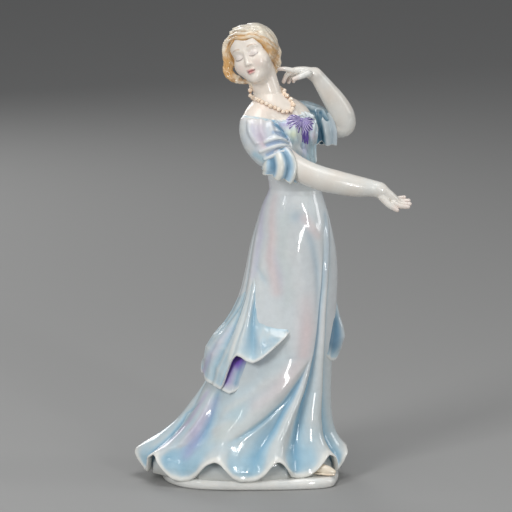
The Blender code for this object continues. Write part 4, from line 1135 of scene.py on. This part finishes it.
def make_hair():
    solid = Solid((-18, -18, -23), (19, 23, 22), 0.28)
    x, y, z = solid.everywhere()
    px, py, pz = x - HAIR_MIDDLE[0], y - HAIR_MIDDLE[1], z - HAIR_MIDDLE[2]
    far = np.sqrt(px * px + py * py + pz * pz) + 1e-6
    reach = 1 / np.sqrt((px / far / HAIR_SIZE[0]) ** 2 + (py / far / HAIR_SIZE[1]) ** 2
                        + (pz / far / HAIR_SIZE[2]) ** 2)
    turn = np.arctan2(px, -py)
    strand = 0.16 * np.cos(turn * 23 + 2.4 * np.sin(pz * 0.42))
    strand = strand + 0.12 * np.cos(turn * 37 - 2.0 * np.sin(pz * 0.5))
    cap = (far - reach - strand) * 0.9
    # the face shows through an opening that narrows to the chin
    half = np.interp(z, (-20, -13, -8, -2, 4, 8.5), (4.2, 6.2, 8.4, 9.6, 9.0, 5.0))
    opening = soft_max(np.abs(x) - half, z - 8.0 + 0.04 * x * x, 1.5)
    cap = soft_max(cap, np.where(y < 1, -opening, 9.0), 1.0)
    solid.field = soft_max(cap, -(z + 13.0 + 0.3 * y), 1.5).astype(np.float32)
    for thick, *row in LOCKS:
        stops = curve(row, 3)
        n = len(stops)
        route = []
        for i, (a, b) in enumerate(stops):
            r = thick * (0.45 + 0.55 * math.sin(math.pi * min(max((i + 1.0) / (n + 0.5), 0), 1)) ** 0.5)
            route.append((*over_hair(a, b, 0.1), r))
        solid.tube(route, 0.4, spans=2)
    for lock in back_locks():
        solid.tube(lock, 1.3, spans=5)
    # a roll of hair at the nape
    solid.tube(((-9, 9, -8.6, 2.2), (-5.5, 13.0, -9.6, 3.2), (0, 14.6, -10, 3.6), (5.5, 13.0, -9.6, 3.2),
                (9, 9, -8.6, 2.2)), 1.4)
    # fine combing along every lock
    x, y, z = solid.everywhere()
    comb = np.cos(1.0 * x + 5.2 * z + 1.6 * np.sin(0.45 * x) + 1.5 * np.sin(0.5 * y)) * (y < 4)
    comb = comb * smooth(3, 8, z) + np.cos(4.6 * x + 0.9 * z + 1.4 * np.sin(0.5 * z)) * smooth(8, 3, z)
    solid.field = (solid.field - 0.09 * comb).astype(np.float32)
    points, faces = solid.mesh()
    far = np.linalg.norm((points - HAIR_MIDDLE) / HAIR_SIZE, axis=1)
    groove = smooth(1.10, 1.01, far)
    world = from_head(points)
    x, h = world[:, 0], shown_height(world)
    gold = 0.14 + 0.8 * groove + 0.3 * ripple(points * (1, 1, 1.6), 3.0)
    hairline = near_line(x, h, ((-9.6, 249), (-7, 251.6), (-1, 252), (5, 251.6), (10, 249), (15, 246)), 2.0)
    beside = near_line(x, h, ((15.4, 246), (16, 240), (14.6, 234)), 2.0)
    left = smooth(-5, -10, x) * smooth(250, 238, h)
    gold = gold + 0.5 * hairline + 0.45 * beside + 0.8 * left
    crown = smooth(256.0, 260.5, h + 0.12 * np.abs(x))
    gold = np.clip(gold * (1 - 0.8 * crown), 0, 1)
    colour = over(linear(229, 221, 204), linear(214, 170, 112), gold)
    for stops in HAIR_STROKES:
        colour = over(colour, linear(206, 158, 96), 0.65 * near_line(x, h, stops, 0.6))
    dark = groove * smooth(0.0, 0.8, ripple(points, 2.6, 0.6) + 0.3 + 0.5 * left) * (1 - crown)
    colour = over(colour, linear(166, 116, 60), 0.85 * dark)
    colour = over(colour, linear(214, 214, 212), 0.6 * crown * groove)
    low = smooth(236, 230, h) * smooth(0.1, 0.9, ripple(points, 2.2, 2.0) + 0.4)
    colour = over(colour, linear(160, 112, 50), 0.6 * low)
    piece("hair_waves", world, faces, colour, HAIR, ("hair",))


make_head()
make_hair()


# ---------------------------------------------------------------- arms
RIGHT_ARM = (
    (13, -23, 197.5, 6), (19, -26.5, 191, 6.2), (28, -29, 183.9, 6.7), (39, -30.5, 178.9, 6.9),
    (50, -30.5, 176.0, 6.7), (61, -29.5, 173.6, 6), (69, -28.5, 172.4, 4.9), (74, -28, 171.2, 4.6),
)
RIGHT_PALM = ((73, -28, 171.6, 4.4), (77, -27.8, 169, 4.5), (81, -27.5, 165.8, 3.9), (84, -27.3, 163.8, 2.8))
RIGHT_FINGERS = (
    ((82, -31, 164.2, 1.7), (86, -31.8, 162.6, 1.45), (90.2, -31.8, 162.2, 1.15)),
    ((83, -28.8, 164.4, 1.7), (87, -29, 163.4, 1.45), (91.2, -28.8, 163.4, 1.15)),
    ((83, -26.4, 164.8, 1.7), (87, -26.2, 164.6, 1.45), (90.6, -26, 164.9, 1.15)),
    ((82, -24.2, 165, 1.6), (85, -23.6, 165.8, 1.35), (88.2, -23.4, 166.4, 1.1)),
    ((75.5, -30.5, 167.5, 2.3), (79.5, -32.4, 163.4, 1.8), (83.8, -33.2, 160.6, 1.25)),
)
LEFT_ARM = (
    (38, 18.5, 206.4, 5.0), (42, 20, 204.2, 5.4), (47, 21, 201.8, 5.8), (51.8, 21, 200, 6.2),
    (55, 20.5, 201.6, 6.5), (53.8, 19, 207.4, 7.0), (49.8, 16.5, 215, 6.4), (44.5, 13.5, 223, 5.2),
    (40.4, 11, 229, 4.3), (38, 9.6, 232, 4),
)
LEFT_PALM = ((38, 9.6, 231.4, 3.9), (34, 8, 233.4, 3.9), (29, 6.2, 234, 3.6), (25, 5.2, 234, 2.8))
LEFT_FINGERS = (
    ((25, 3.6, 234.9, 1.6), (21, 2.4, 235.9, 1.35), (17.2, 1.4, 236, 1.1)),
    ((26, 5.4, 234, 1.6), (22.2, 4.6, 232.2, 1.4), (20.2, 4.2, 228.4, 1.15)),
    ((27, 7.2, 233, 1.6), (24, 7.2, 230.4, 1.4), (23.2, 7, 227.8, 1.15)),
    ((28, 8.8, 232.6, 1.5), (26, 9.2, 229.9, 1.3), (26, 9.2, 227.9, 1.1)),
    ((34, 3.8, 233.2, 2), (29.5, 1.4, 231.6, 1.6), (26.2, 0.8, 230.4, 1.2)),
)


def make_arm(name, node, arm, palm, fingers, low, high):
    solid = Solid(low, high, 0.32)
    solid.tube(arm)
    solid.tube(palm, 2.0, squash=((0, 0.5, 0.9), 0.72))
    for finger in fingers:
        solid.tube(finger, 0.5)
    points, faces = solid.mesh()
    tips = np.array([f[-1][:3] for f in fingers])
    near = np.min(np.linalg.norm(points[:, None] - tips[None], axis=2), axis=1)
    colour = over(IVORY, PORCELAIN, 0.4 + 0.4 * ripple(points, 9.0))
    colour = over(colour, BLUSH, 0.3 * smooth(5, 1, near))
    piece(name, points, faces, colour, SKIN, (node,))


make_arm("near_arm", "right_arm", RIGHT_ARM, RIGHT_PALM, RIGHT_FINGERS, (4, -40, 155), (96, -14, 208))
make_arm("raised_arm", "left_arm", LEFT_ARM, LEFT_PALM, LEFT_FINGERS, (13, -4, 188), (66, 31, 241))


# ---------------------------------------------------------------- sleeves
def frames(route, count):
    """Places, radii and cross directions along a smooth route: side is about +X and out about +Y."""
    rows = curve(route, 24)
    along = np.linspace(0, len(rows) - 1, count)
    rows = np.stack([np.interp(along, np.arange(len(rows)), rows[:, i]) for i in range(4)], -1)
    ahead = np.gradient(rows[:, :3], axis=0)
    ahead /= np.linalg.norm(ahead, axis=1)[:, None]
    side = np.cross(ahead, (0, 1, 0))
    side /= np.linalg.norm(side, axis=1)[:, None]
    return rows, ahead, side, np.cross(side, ahead)


def around(degrees, stops):
    """A closed smooth run of values round a ring. Stops are degrees, value."""
    at, value = np.array(sorted(stops), float).T
    at, value = np.append(at, at[0] + 360), np.append(value, value[0])
    degrees = (degrees - at[0]) % 360 + at[0]
    i = np.clip(np.searchsorted(at, degrees, "right") - 1, 0, len(at) - 2)
    t = (degrees - at[i]) / (at[i + 1] - at[i])
    return value[i] + (value[i + 1] - value[i]) * (0.5 - 0.5 * np.cos(math.pi * t))


def make_frill(name, node, route, flutes, lean, drop, colour_of, depth, wall=1.3):
    """A hanging frill with a rolled, wavy edge. The flutes are degrees and -1 to 1, deeper lower down."""
    sides, count = int(300 / COARSE), int(90 / COARSE)
    rows, ahead, side, out = frames(route, count)
    s = np.linspace(0, 1, count)[:, None]
    degrees = np.linspace(0, 360, sides, endpoint=False)[None, :]
    a = np.radians(degrees)
    wave = around(degrees + lean * (1 - s), flutes)
    fine = 0.18 * np.cos(np.radians((degrees + lean * (1 - s)) * 13))
    fold = (wave + fine) * depth * (0.3 + 0.7 * smooth(0, 0.7, s))
    reach = np.cos(a)[..., None] * side[:, None] + np.sin(a)[..., None] * out[:, None]
    fall = ahead[:, None] * (drop * around(degrees, flutes) * s**2)[..., None]
    outer = rows[:, None, :3] + (rows[:, 3:4] + fold)[..., None] * reach + fall
    shift = wall / 2
    lip = [outer[-1] - reach[-1] * (shift - shift * math.cos(t)) + ahead[-1] * shift * math.sin(t)
           for t in np.linspace(0, math.pi, 8)[1:-1]]
    inner = (outer - reach * wall)[::-1][: int(count * 0.75)]
    points, faces = loft(np.concatenate([outer, np.array(lip), inner]))

    def each(outside, edge, inside):
        """One value a point of the three parts. The first is an array."""
        return np.concatenate([outside, np.full((len(lip), sides), edge),
                               np.full((len(inner), sides), inside)])

    tone, share = each(-wave, -1.3, 1.3), each(s + 0 * wave, 1.0, 0.5)
    colour = colour_of(points, padded(tone), padded(share, 0, 1))
    piece(name, points, faces, colour, GLAZE_BLUE, (node,))


def sleeve_solid(route, low, high, lid):
    """A puff that ends where the lid's distance passes nought."""
    solid = Solid(low, high, 0.35)
    solid.tube(route)
    x, y, z = solid.everywhere()
    solid.field = soft_max(solid.field, lid(x, y, z), 1.2).astype(np.float32)
    return solid


def add_folds(solid, bare, folds, k=1.3):
    """Adds ridges, and furrows where the thickness is under nought. Their places show on the bare solid."""
    for radius, *row in folds:
        stops = curve(row, 5)
        n = len(stops)
        route = []
        for i, (a, b) in enumerate(stops):
            swell = 0.45 + 0.55 * math.sin(math.pi * (i + 1) / (n + 1))
            route.append((*bare.seen(a, b, 0.15 * radius), abs(radius) * swell))
        solid.tube(route, k, spans=2, cut=radius < 0)


NEAR_PUFF = (
    (5.2, -14.5, 211, 7.6), (4.9, -18.2, 206.6, 9.8), (7.8, -20.4, 200.6, 11.8), (11.6, -22.4, 194.6, 11.2),
    (14.6, -24, 190.4, 9.2), (15.6, -24.6, 188.2, 7.4),
)
# Ridges and furrows of the near sleeve, running to its gathering point: thickness, then across, up
NEAR_SWELLS = (
    (0.9, (0.6, 205), (1.4, 199), (4.6, 193)), (0.5, (7.4, 206), (7.4, 200), (9.6, 195)),
    (0.8, (12.6, 205), (13.6, 200), (16, 196.6)),
)
NEAR_RIDGES = (
    (1.7, (24.2, 190.4), (20, 188.6), (15, 186.4), (9.6, 183.8)),
    (1.3, (24.2, 191.4), (19.4, 192), (13.6, 190.6), (7, 188)),
    (1.2, (24, 192.6), (20, 195.2), (14.6, 195.4), (9.6, 193.4)),
    (1.0, (23.6, 193.6), (20.8, 197.6), (16.6, 200.2)),
    (1.1, (22.8, 195.4), (19, 200.6), (15.4, 204.8)), (0.9, (23.8, 190), (23.4, 186.8), (22.6, 184)),
)
NEAR_FURROWS = (
    (-0.9, (22.4, 189.9), (17.6, 189), (11, 186.2)), (-0.8, (22.6, 192.6), (17.4, 193.6), (11, 191.8)),
    (-0.7, (22.4, 194.6), (18.4, 198), (14.4, 199)), (-0.7, (21.6, 197.2), (18, 201.6), (15, 203.6)),
)
# Lines painted on it, wide and soft first and then over its shoulder: across and up, width, tint, amount
NEAR_WASHES = (
    (((6, 204), (7, 197), (9, 192)), 5.6, linear(216, 208, 218), 0.6),
    (((6.4, 197.4), (7.2, 195)), 2.0, linear(186, 166, 196), 0.4),
    (((8, 192.6), (10, 190.4)), 1.6, linear(226, 200, 206), 0.4),
    (((-1, 205), (0, 198), (4, 191)), 1.8, linear(196, 210, 220), 0.4),
    (((6.8, 202), (7.4, 197.6)), 4.0, linear(208, 198, 212), 0.5),
    (((11, 206), (11, 200), (12.4, 195)), 1.8, linear(196, 212, 222), 0.35),
    (((3, 207), (2.6, 202), (4, 197)), 1.0, linear(204, 202, 218), 0.5),
    *((row, 1.3, linear(150, 180, 214), 0.75) for _, *row in NEAR_FURROWS),
)
NEAR_LINES = (
    (((15, 205), (18, 201), (21.4, 197)), 1.0, MID_BLUE, 0.8),
    (((4, 186.4), (7, 184.6), (10, 182.6)), 2.0, PALE_BLUE, 0.9),
    *((row, 0.8, PORCELAIN, 0.8) for _, *row in NEAR_RIDGES[:3]),
)


def near_lid(x, y, z):
    """The sleeve's gathered top, which slopes as it shows from the front."""
    return z + VIEW_SLOPE * y - (208.4 - 0.18 * (x + 4)) - 0.25 * np.cos(x * 0.9 + y * 0.7)


def near_sleeve():
    solid = sleeve_solid(NEAR_PUFF, (-10, -38, 182), (30, -2, 216), near_lid)
    bare = solid.copy()
    add_folds(solid, bare, NEAR_SWELLS, 2.6)
    add_folds(solid, bare, NEAR_RIDGES + NEAR_FURROWS)
    points, faces = solid.mesh()
    x, y, _ = points.T
    h = shown_height(points)
    front = (y < -16).astype(float)
    colour = over(PORCELAIN, linear(206, 216, 224), 0.4 + 0.4 * ripple(points, 5.0))
    for stops, wide, tint, amount in NEAR_WASHES:
        colour = over(colour, tint, near_line(x, h, stops, wide) * amount * front)
    shoulder = smooth(201.5, 208, h + 0.18 * x) * smooth(14, 7, x)
    colour = over(colour, linear(230, 227, 224), 0.85 * shoulder)
    for stops, wide, tint, amount in NEAR_LINES:
        colour = over(colour, tint, near_line(x, h, stops, wide) * amount * front)
    piece("near_sleeve_puff", points, faces, colour, GLAZE_BLUE, ("right_sleeve",))


FAR_PUFF = ((28, 9, 213.6, 3.4), (33, 13.4, 211, 5.2), (38.6, 17, 207, 6.6), (43.2, 19, 203.4, 7.2))
FAR_RIDGES = (
    (1.0, (30, 217), (36, 214.8), (42, 213.6)), (0.9, (38.4, 213.6), (39.2, 208), (39.6, 203)),
    (1.0, (43, 213), (45, 207.6), (46.4, 202)),
)
FAR_LINES = (
    ((33, 214), (36.6, 212.4), (41, 211.6)),
    ((38.6, 211), (40.4, 206), (41, 200)),
    ((41.6, 212), (44, 206), (44.6, 200)),
)


def far_lid(x, _y, z):
    """The sleeve's lower end, across the raised arm."""
    return (x - 44.8) * 0.9 - (z - 203) * 0.25


def far_sleeve():
    solid = sleeve_solid(FAR_PUFF, (22, 2, 190), (54, 32, 222), far_lid)
    add_folds(solid, solid.copy(), FAR_RIDGES)
    points, faces = solid.mesh()
    x = points[:, 0]
    h = shown_height(points)
    # The far sleeve lies in shade: its colours are painted darker than the near sleeve's as painted shade,
    # darker still low on its outer part and in lines along its furrows.
    deep = smooth(213, 208.6, h + 0.25 * (x - 40)) * smooth(36, 40, x)
    colour = over(linear(188, 202, 208), linear(136, 164, 180), 0.5 + 0.5 * ripple(points, 2.6))
    colour = over(colour, linear(98, 138, 158), 0.8 * deep)
    for stops in FAR_LINES:
        colour = over(colour, linear(70, 112, 136), 0.75 * near_line(x, h, stops, 0.9))
    piece("far_sleeve_puff", points, faces, colour, GLAZE_BLUE, ("left_sleeve",))


def near_frill_colour(_points, tone, share):
    colour = over(linear(224, 224, 216), linear(162, 192, 212), 0.9 * smooth(-1.0, 0.3, tone))
    colour = over(colour, linear(84, 130, 160), 0.75 * smooth(0.1, 1.15, tone) * smooth(1.15, 0.6, share))
    return over(colour, linear(196, 200, 222), 0.5 * smooth(0.3, 0.0, share) * smooth(0.5, -0.5, tone))


def far_frill_colour(points, tone, _share):
    # Painted shade: the far frill lies in shade and is painted darker than the near frill, darkest in its
    # flutes and on its inside; paler past x 45 towards its outer side, where the painted shade gives way to
    # light, and white on its rolled edge.
    colour = over(linear(212, 222, 226), linear(112, 154, 176), smooth(-0.8, 0.2, tone))
    colour = over(colour, linear(196, 210, 220), 0.5 * smooth(45, 49, points[:, 0]))
    colour = over(colour, linear(60, 104, 130), 0.9 * smooth(0.0, 0.9, tone))
    return over(colour, PORCELAIN, 0.8 * smooth(-1.0, -1.3, tone))


NEAR_FRILL = (
    (16.4, -25.4, 191.4, 7.8), (17.8, -26.8, 188.6, 9.6), (18.6, -28.2, 185, 10.8), (18.4, -29, 181.4, 10.6),
    (17.6, -29.2, 178.8, 9.8),
)
NEAR_FLUTES = (
    (208, 0.8), (237, -1.2), (263, 1.0), (288, -1.0), (310, 0.8), (334, -0.8), (354, 0.5), (44, -0.8),
    (80, 0.8), (112, -0.8), (146, 0.8), (180, -0.5),
)
FAR_FRILL = ((40.8, 18.2, 208, 6.6), (42.2, 18.6, 203, 7.4), (43, 18.4, 197, 7.4), (43.4, 18, 191.4, 6.6))
FAR_FLUTES = (
    (196, 0.5), (222, 0.3), (254, -1.1), (286, 0.7), (312, 0.3), (336, 0.9), (0, -0.4), (20, 0.6), (60, -0.8),
    (100, 0.8), (140, -0.8), (170, 0.2),
)
near_sleeve()
make_frill("near_sleeve_frill", "right_sleeve_frill", NEAR_FRILL, NEAR_FLUTES, -14, 0.7, near_frill_colour,
           1.35)
far_sleeve()
make_frill("far_sleeve_frill", "left_sleeve_frill", FAR_FRILL, FAR_FLUTES, 6, 1.6, far_frill_colour, 1.5)


# ---------------------------------------------------------------- necklace
# the strand as it shows on the chest from the front, then behind the neck as x, y, z
CHEST = (
    (1.4, 225), (1.2, 222), (2.6, 219.8), (6, 218), (10, 216), (14, 214.2), (18, 212.4), (21.6, 211.3),
    (24.4, 212), (25.6, 214.6), (25, 217.6), (23, 220.2), (20.4, 222.4),
)
NAPE = ((20.4, 3.4, 223.4), (17, 8.0, 224.6), (12.4, 10, 226), (7, 8.6, 227.2), (3.4, 4.4, 227.4))
BEAD_PITCH = 2.55


def make_necklace():
    stops = [bare_torso.seen(x, h, 1.0) for x, h in CHEST]
    stops[0] = (1.8, -1.0, 226.4)
    route = curve(stops + list(NAPE), 30, closed=True)
    steps = np.linalg.norm(np.roll(route, -1, 0) - route, axis=1)
    length = np.concatenate([[0], np.cumsum(steps)])
    ring = np.vstack([route, route[:1]])
    count = int(length[-1] / BEAD_PITCH)

    def place(distance):
        return np.stack([np.interp(distance % length[-1], length, ring[:, i]) for i in range(3)], -1)

    at = np.linspace(0, length[-1], count, endpoint=False)
    solid = Solid(route.min(0) - 3, route.max(0) + 3, 0.2)
    core = place(np.linspace(0, length[-1], count * 2))
    solid.tube([(*p, 0.55) for p in core], spans=1)
    centres = []
    for i, d in enumerate(at):
        shake = np.array([math.sin(3.1 * i), math.cos(1.7 * i), math.sin(2.3 * i)])
        centre = place(np.array(d)) + 0.22 * shake
        radius = 1.32 + 0.08 * math.sin(2.7 * i)
        solid.egg(centre, (radius,) * 3, 0.06)
        centres.append((*centre, radius))
    points, faces = solid.mesh()
    centres = np.array(centres)
    away = np.linalg.norm(points[:, None, :] - centres[None, :, :3], axis=2) - centres[None, :, 3]
    nearest = np.argmin(away, axis=1)
    offset = points - centres[nearest, :3]
    # painted light and shade on each bead: near white as a painted highlight on the side that faces up and
    # towards the front, brown as painted shade underneath
    up = offset[:, 2] * 0.75 - offset[:, 1] * 0.65
    own = 0.5 + 0.5 * np.sin(nearest * 1.9)
    colour = over(linear(166, 106, 68), linear(252, 236, 216), smooth(-0.8, 0.6, up))
    colour = over(colour, linear(228, 186, 146), 0.35 * own)
    # dark brown between the beads: the bronze strand, deepened with painted shade
    gap = smooth(-0.03, 0.16, away[np.arange(len(points)), nearest])
    colour = over(colour, linear(112, 66, 38), 0.95 * gap)
    piece("bead_necklace", points, faces, colour, GILT, ("necklace",))


make_necklace()


# ---------------------------------------------------------------- bow and neckline frill
# strips of the bow as they show from the front: thickness, height off the bodice, then across, up
KNOT = (30.6, 206.6)
STRIPS = (
    (1.0, 1.5, (26.6, 208), (23.4, 207.6), (21.8, 206)),
    (0.9, 1.3, (26.4, 206.6), (23.2, 205.2), (22, 203.6)),
    (0.9, 1.3, (27, 205.4), (24.6, 203.4), (23.6, 201.8)),
    (0.9, 1.2, (28, 204.4), (26.4, 202.2), (25.8, 200.4)),
    (0.8, 1.2, (28.6, 208.4), (25.8, 209.2), (23.6, 208.8)),
    (1.0, 1.5, (31.4, 204.4), (31.4, 201.4), (30.4, 198.6)),
    (1.0, 1.6, (32.6, 204.6), (33.8, 201.8), (33.8, 198.8)),
    (1.0, 1.6, (33.4, 205.4), (35.4, 203.2), (36.2, 200.2)),
    (0.9, 1.5, (33.6, 206.6), (36, 205.2), (37.4, 202.8)),
    (0.8, 1.3, (33.2, 207.8), (35.6, 207.4), (37.2, 205.8)),
    (1.1, 1.2, (29.4, 205), (27.6, 204), (26.4, 203)), (1.2, 1.4, (32, 205), (33.4, 203), (34.4, 201)),
    (0.9, 1.2, (29.4, 204), (28.6, 201.6), (28.4, 199.6)),
    (0.9, 1.1, (31.6, 203), (32.4, 197.4), (32, 192.4)),
    (0.9, 1.1, (32.4, 203), (33.6, 197.6), (33.6, 193.4)),
    (0.8, 1.0, (30.8, 203), (31, 198.4), (30.8, 194.6)),
)


def make_bow():
    solid = Solid((17, -28, 186), (44, 4, 215), 0.2)
    for radius, lift, *row in STRIPS:
        stops = curve([KNOT, *row], 4)
        n = len(stops)
        route = []
        for i, (x, h) in enumerate(stops):
            t = i / (n - 1)
            rise = lift * (0.8 + 0.9 * math.sin(math.pi * t) * (1 - t)) * (1 - 0.75 * t * t)
            route.append((*bare_torso.seen(x, h, rise), radius * (0.62 + 0.38 * math.sin(math.pi * t))))
        solid.tube(route, 0.18, spans=2)
    solid.egg(bare_torso.seen(*KNOT, 1.3), (1.9, 1.5, 1.6), 0.4)
    points, faces = solid.mesh()
    x = points[:, 0]
    h = shown_height(points)
    # white-lilac streaks over the dark violet on the upper part, partly painted highlight, and lighter
    # towards the left
    turn = np.arctan2(h - KNOT[1], x - KNOT[0])
    streak = (0.5 + 0.5 * np.cos(turn * 29 + 1.2 * np.sin(1.5 * h))) ** 2.5
    light = np.clip(0.06 + 0.9 * streak * smooth(196, 202, h) + 0.3 * smooth(28, 22, x), 0, 1)
    colour = over(linear(66, 36, 138), linear(226, 218, 244), light)
    colour = over(colour, linear(120, 92, 186), 0.8 * smooth(199, 195, h))
    nodes = ("bow_knot", "bow_loop_right", "bow_loop_left", "bow_tail_right", "bow_tail_left")
    piece("violet_bow", points, faces, colour, VIOLET, nodes)


def make_ruffle():
    """The white ruffle that edges the neckline beside the bow."""
    solid = Solid((10, -28, 198), (46, 8, 220), 0.22)
    curls = ((31.4, 210.2), (33.2, 210.6), (35, 210.2), (36.6, 209), (37.6, 207.2))
    for x, h in curls:
        a = bare_torso.seen(x - 0.8, h + 1.0, 0.2)
        b = bare_torso.seen(x, h, 1.3)
        c = bare_torso.seen(x + 0.7, h - 1.7, 0.5)
        solid.tube(((*a, 0.6), (*b, 0.95), (*c, 0.6)), 0.35)
    hem = curve(((15.4, 206.2), (19, 206.0), (23, 206.8), (27, 208.6), (30.4, 209.8)), 6)
    route = [(*bare_torso.seen(x, h + 0.25 * math.sin(1.9 * i), 0.35), 0.5) for i, (x, h) in enumerate(hem)]
    solid.tube(route, 0.3, spans=3)
    points, faces = solid.mesh()
    colour = over(PORCELAIN, PALE_BLUE, 0.25 + 0.25 * ripple(points, 1.5))
    piece("neckline_ruffle", points, faces, colour, GLAZE_WHITE)


make_bow()
make_ruffle()


# ---------------------------------------------------------------- floor, light, camera
FLOOR_GREY, WORLD_GREY = (0.35, 0.35, 0.345, 1), (0.87, 0.88, 0.90, 1)
LIGHT_AIM, CAMERA_AIM = Vector((0.01, 0, 0.13)), Vector((0.00456, 0, 0.1286))
CAMERA_AWAY, CAMERA_LENS = 2.4, 295.5
# name, place, width, height, watts, whether the glaze mirrors it
SOFTBOXES = (
    ("key_box", (-0.8, -1.2, 0.78), 0.4, 0.6, 10.6, False),
    ("glint_box", (-0.85, -1.0, 1.05), 0.12, 0.4, 0.9, True),
    ("front_strip", (0.62, -1.25, 0.42), 0.09, 0.45, 3.6, True),
    ("top_box", (0.1, -0.25, 1.35), 0.8, 0.8, 6.4, True),
    ("side_box", (1.15, -0.1, 0.5), 0.25, 0.6, 1.9, True),
    ("rim_box", (-0.5, 1.2, 0.7), 0.5, 0.7, 3.6, True),
)


def place_aimed(name, data, place, aim):
    """An object of the studio at a place, turned to look at the aim."""
    made = bpy.data.objects.new(name, data)
    made.location = place
    made.rotation_euler = (aim - Vector(place)).to_track_quat("-Z", "Y").to_euler()
    bpy.context.scene.collection.objects.link(made)
    return made


def studio():
    bpy.ops.mesh.primitive_circle_add(vertices=96, radius=7.0, fill_type="NGON", location=(0, 0, 0))
    floor = bpy.context.object
    floor.name = "floor"
    paper = bpy.data.materials.new("pale_floor")
    paper.use_nodes = True
    shader = paper.node_tree.nodes["Principled BSDF"].inputs
    shader["Base Color"].default_value = FLOOR_GREY
    shader["Roughness"].default_value = 0.7
    floor.data.materials.append(paper)
    scene = bpy.context.scene
    scene.world = bpy.data.worlds.new("studio")
    scene.world.use_nodes = True
    sky = scene.world.node_tree.nodes["Background"].inputs
    sky["Color"].default_value = WORLD_GREY
    sky["Strength"].default_value = 0.22
    for name, place, wide, tall, watts, mirrored in SOFTBOXES:
        light = bpy.data.lights.new(name, "AREA")
        light.shape = "RECTANGLE"
        light.size, light.size_y = wide, tall
        light.energy = watts
        place_aimed(name, light, place, LIGHT_AIM).visible_glossy = mirrored
    tilt = math.radians(VIEW_TILT)
    place = CAMERA_AIM + CAMERA_AWAY * Vector((0, -math.cos(tilt), math.sin(tilt)))
    camera = place_aimed("camera", bpy.data.cameras.new("camera"), place, CAMERA_AIM)
    camera.data.lens = CAMERA_LENS
    camera.data.sensor_width = 36
    camera.data.clip_end = 30
    scene.camera = camera
    scene.view_settings.view_transform = "Standard"


studio()
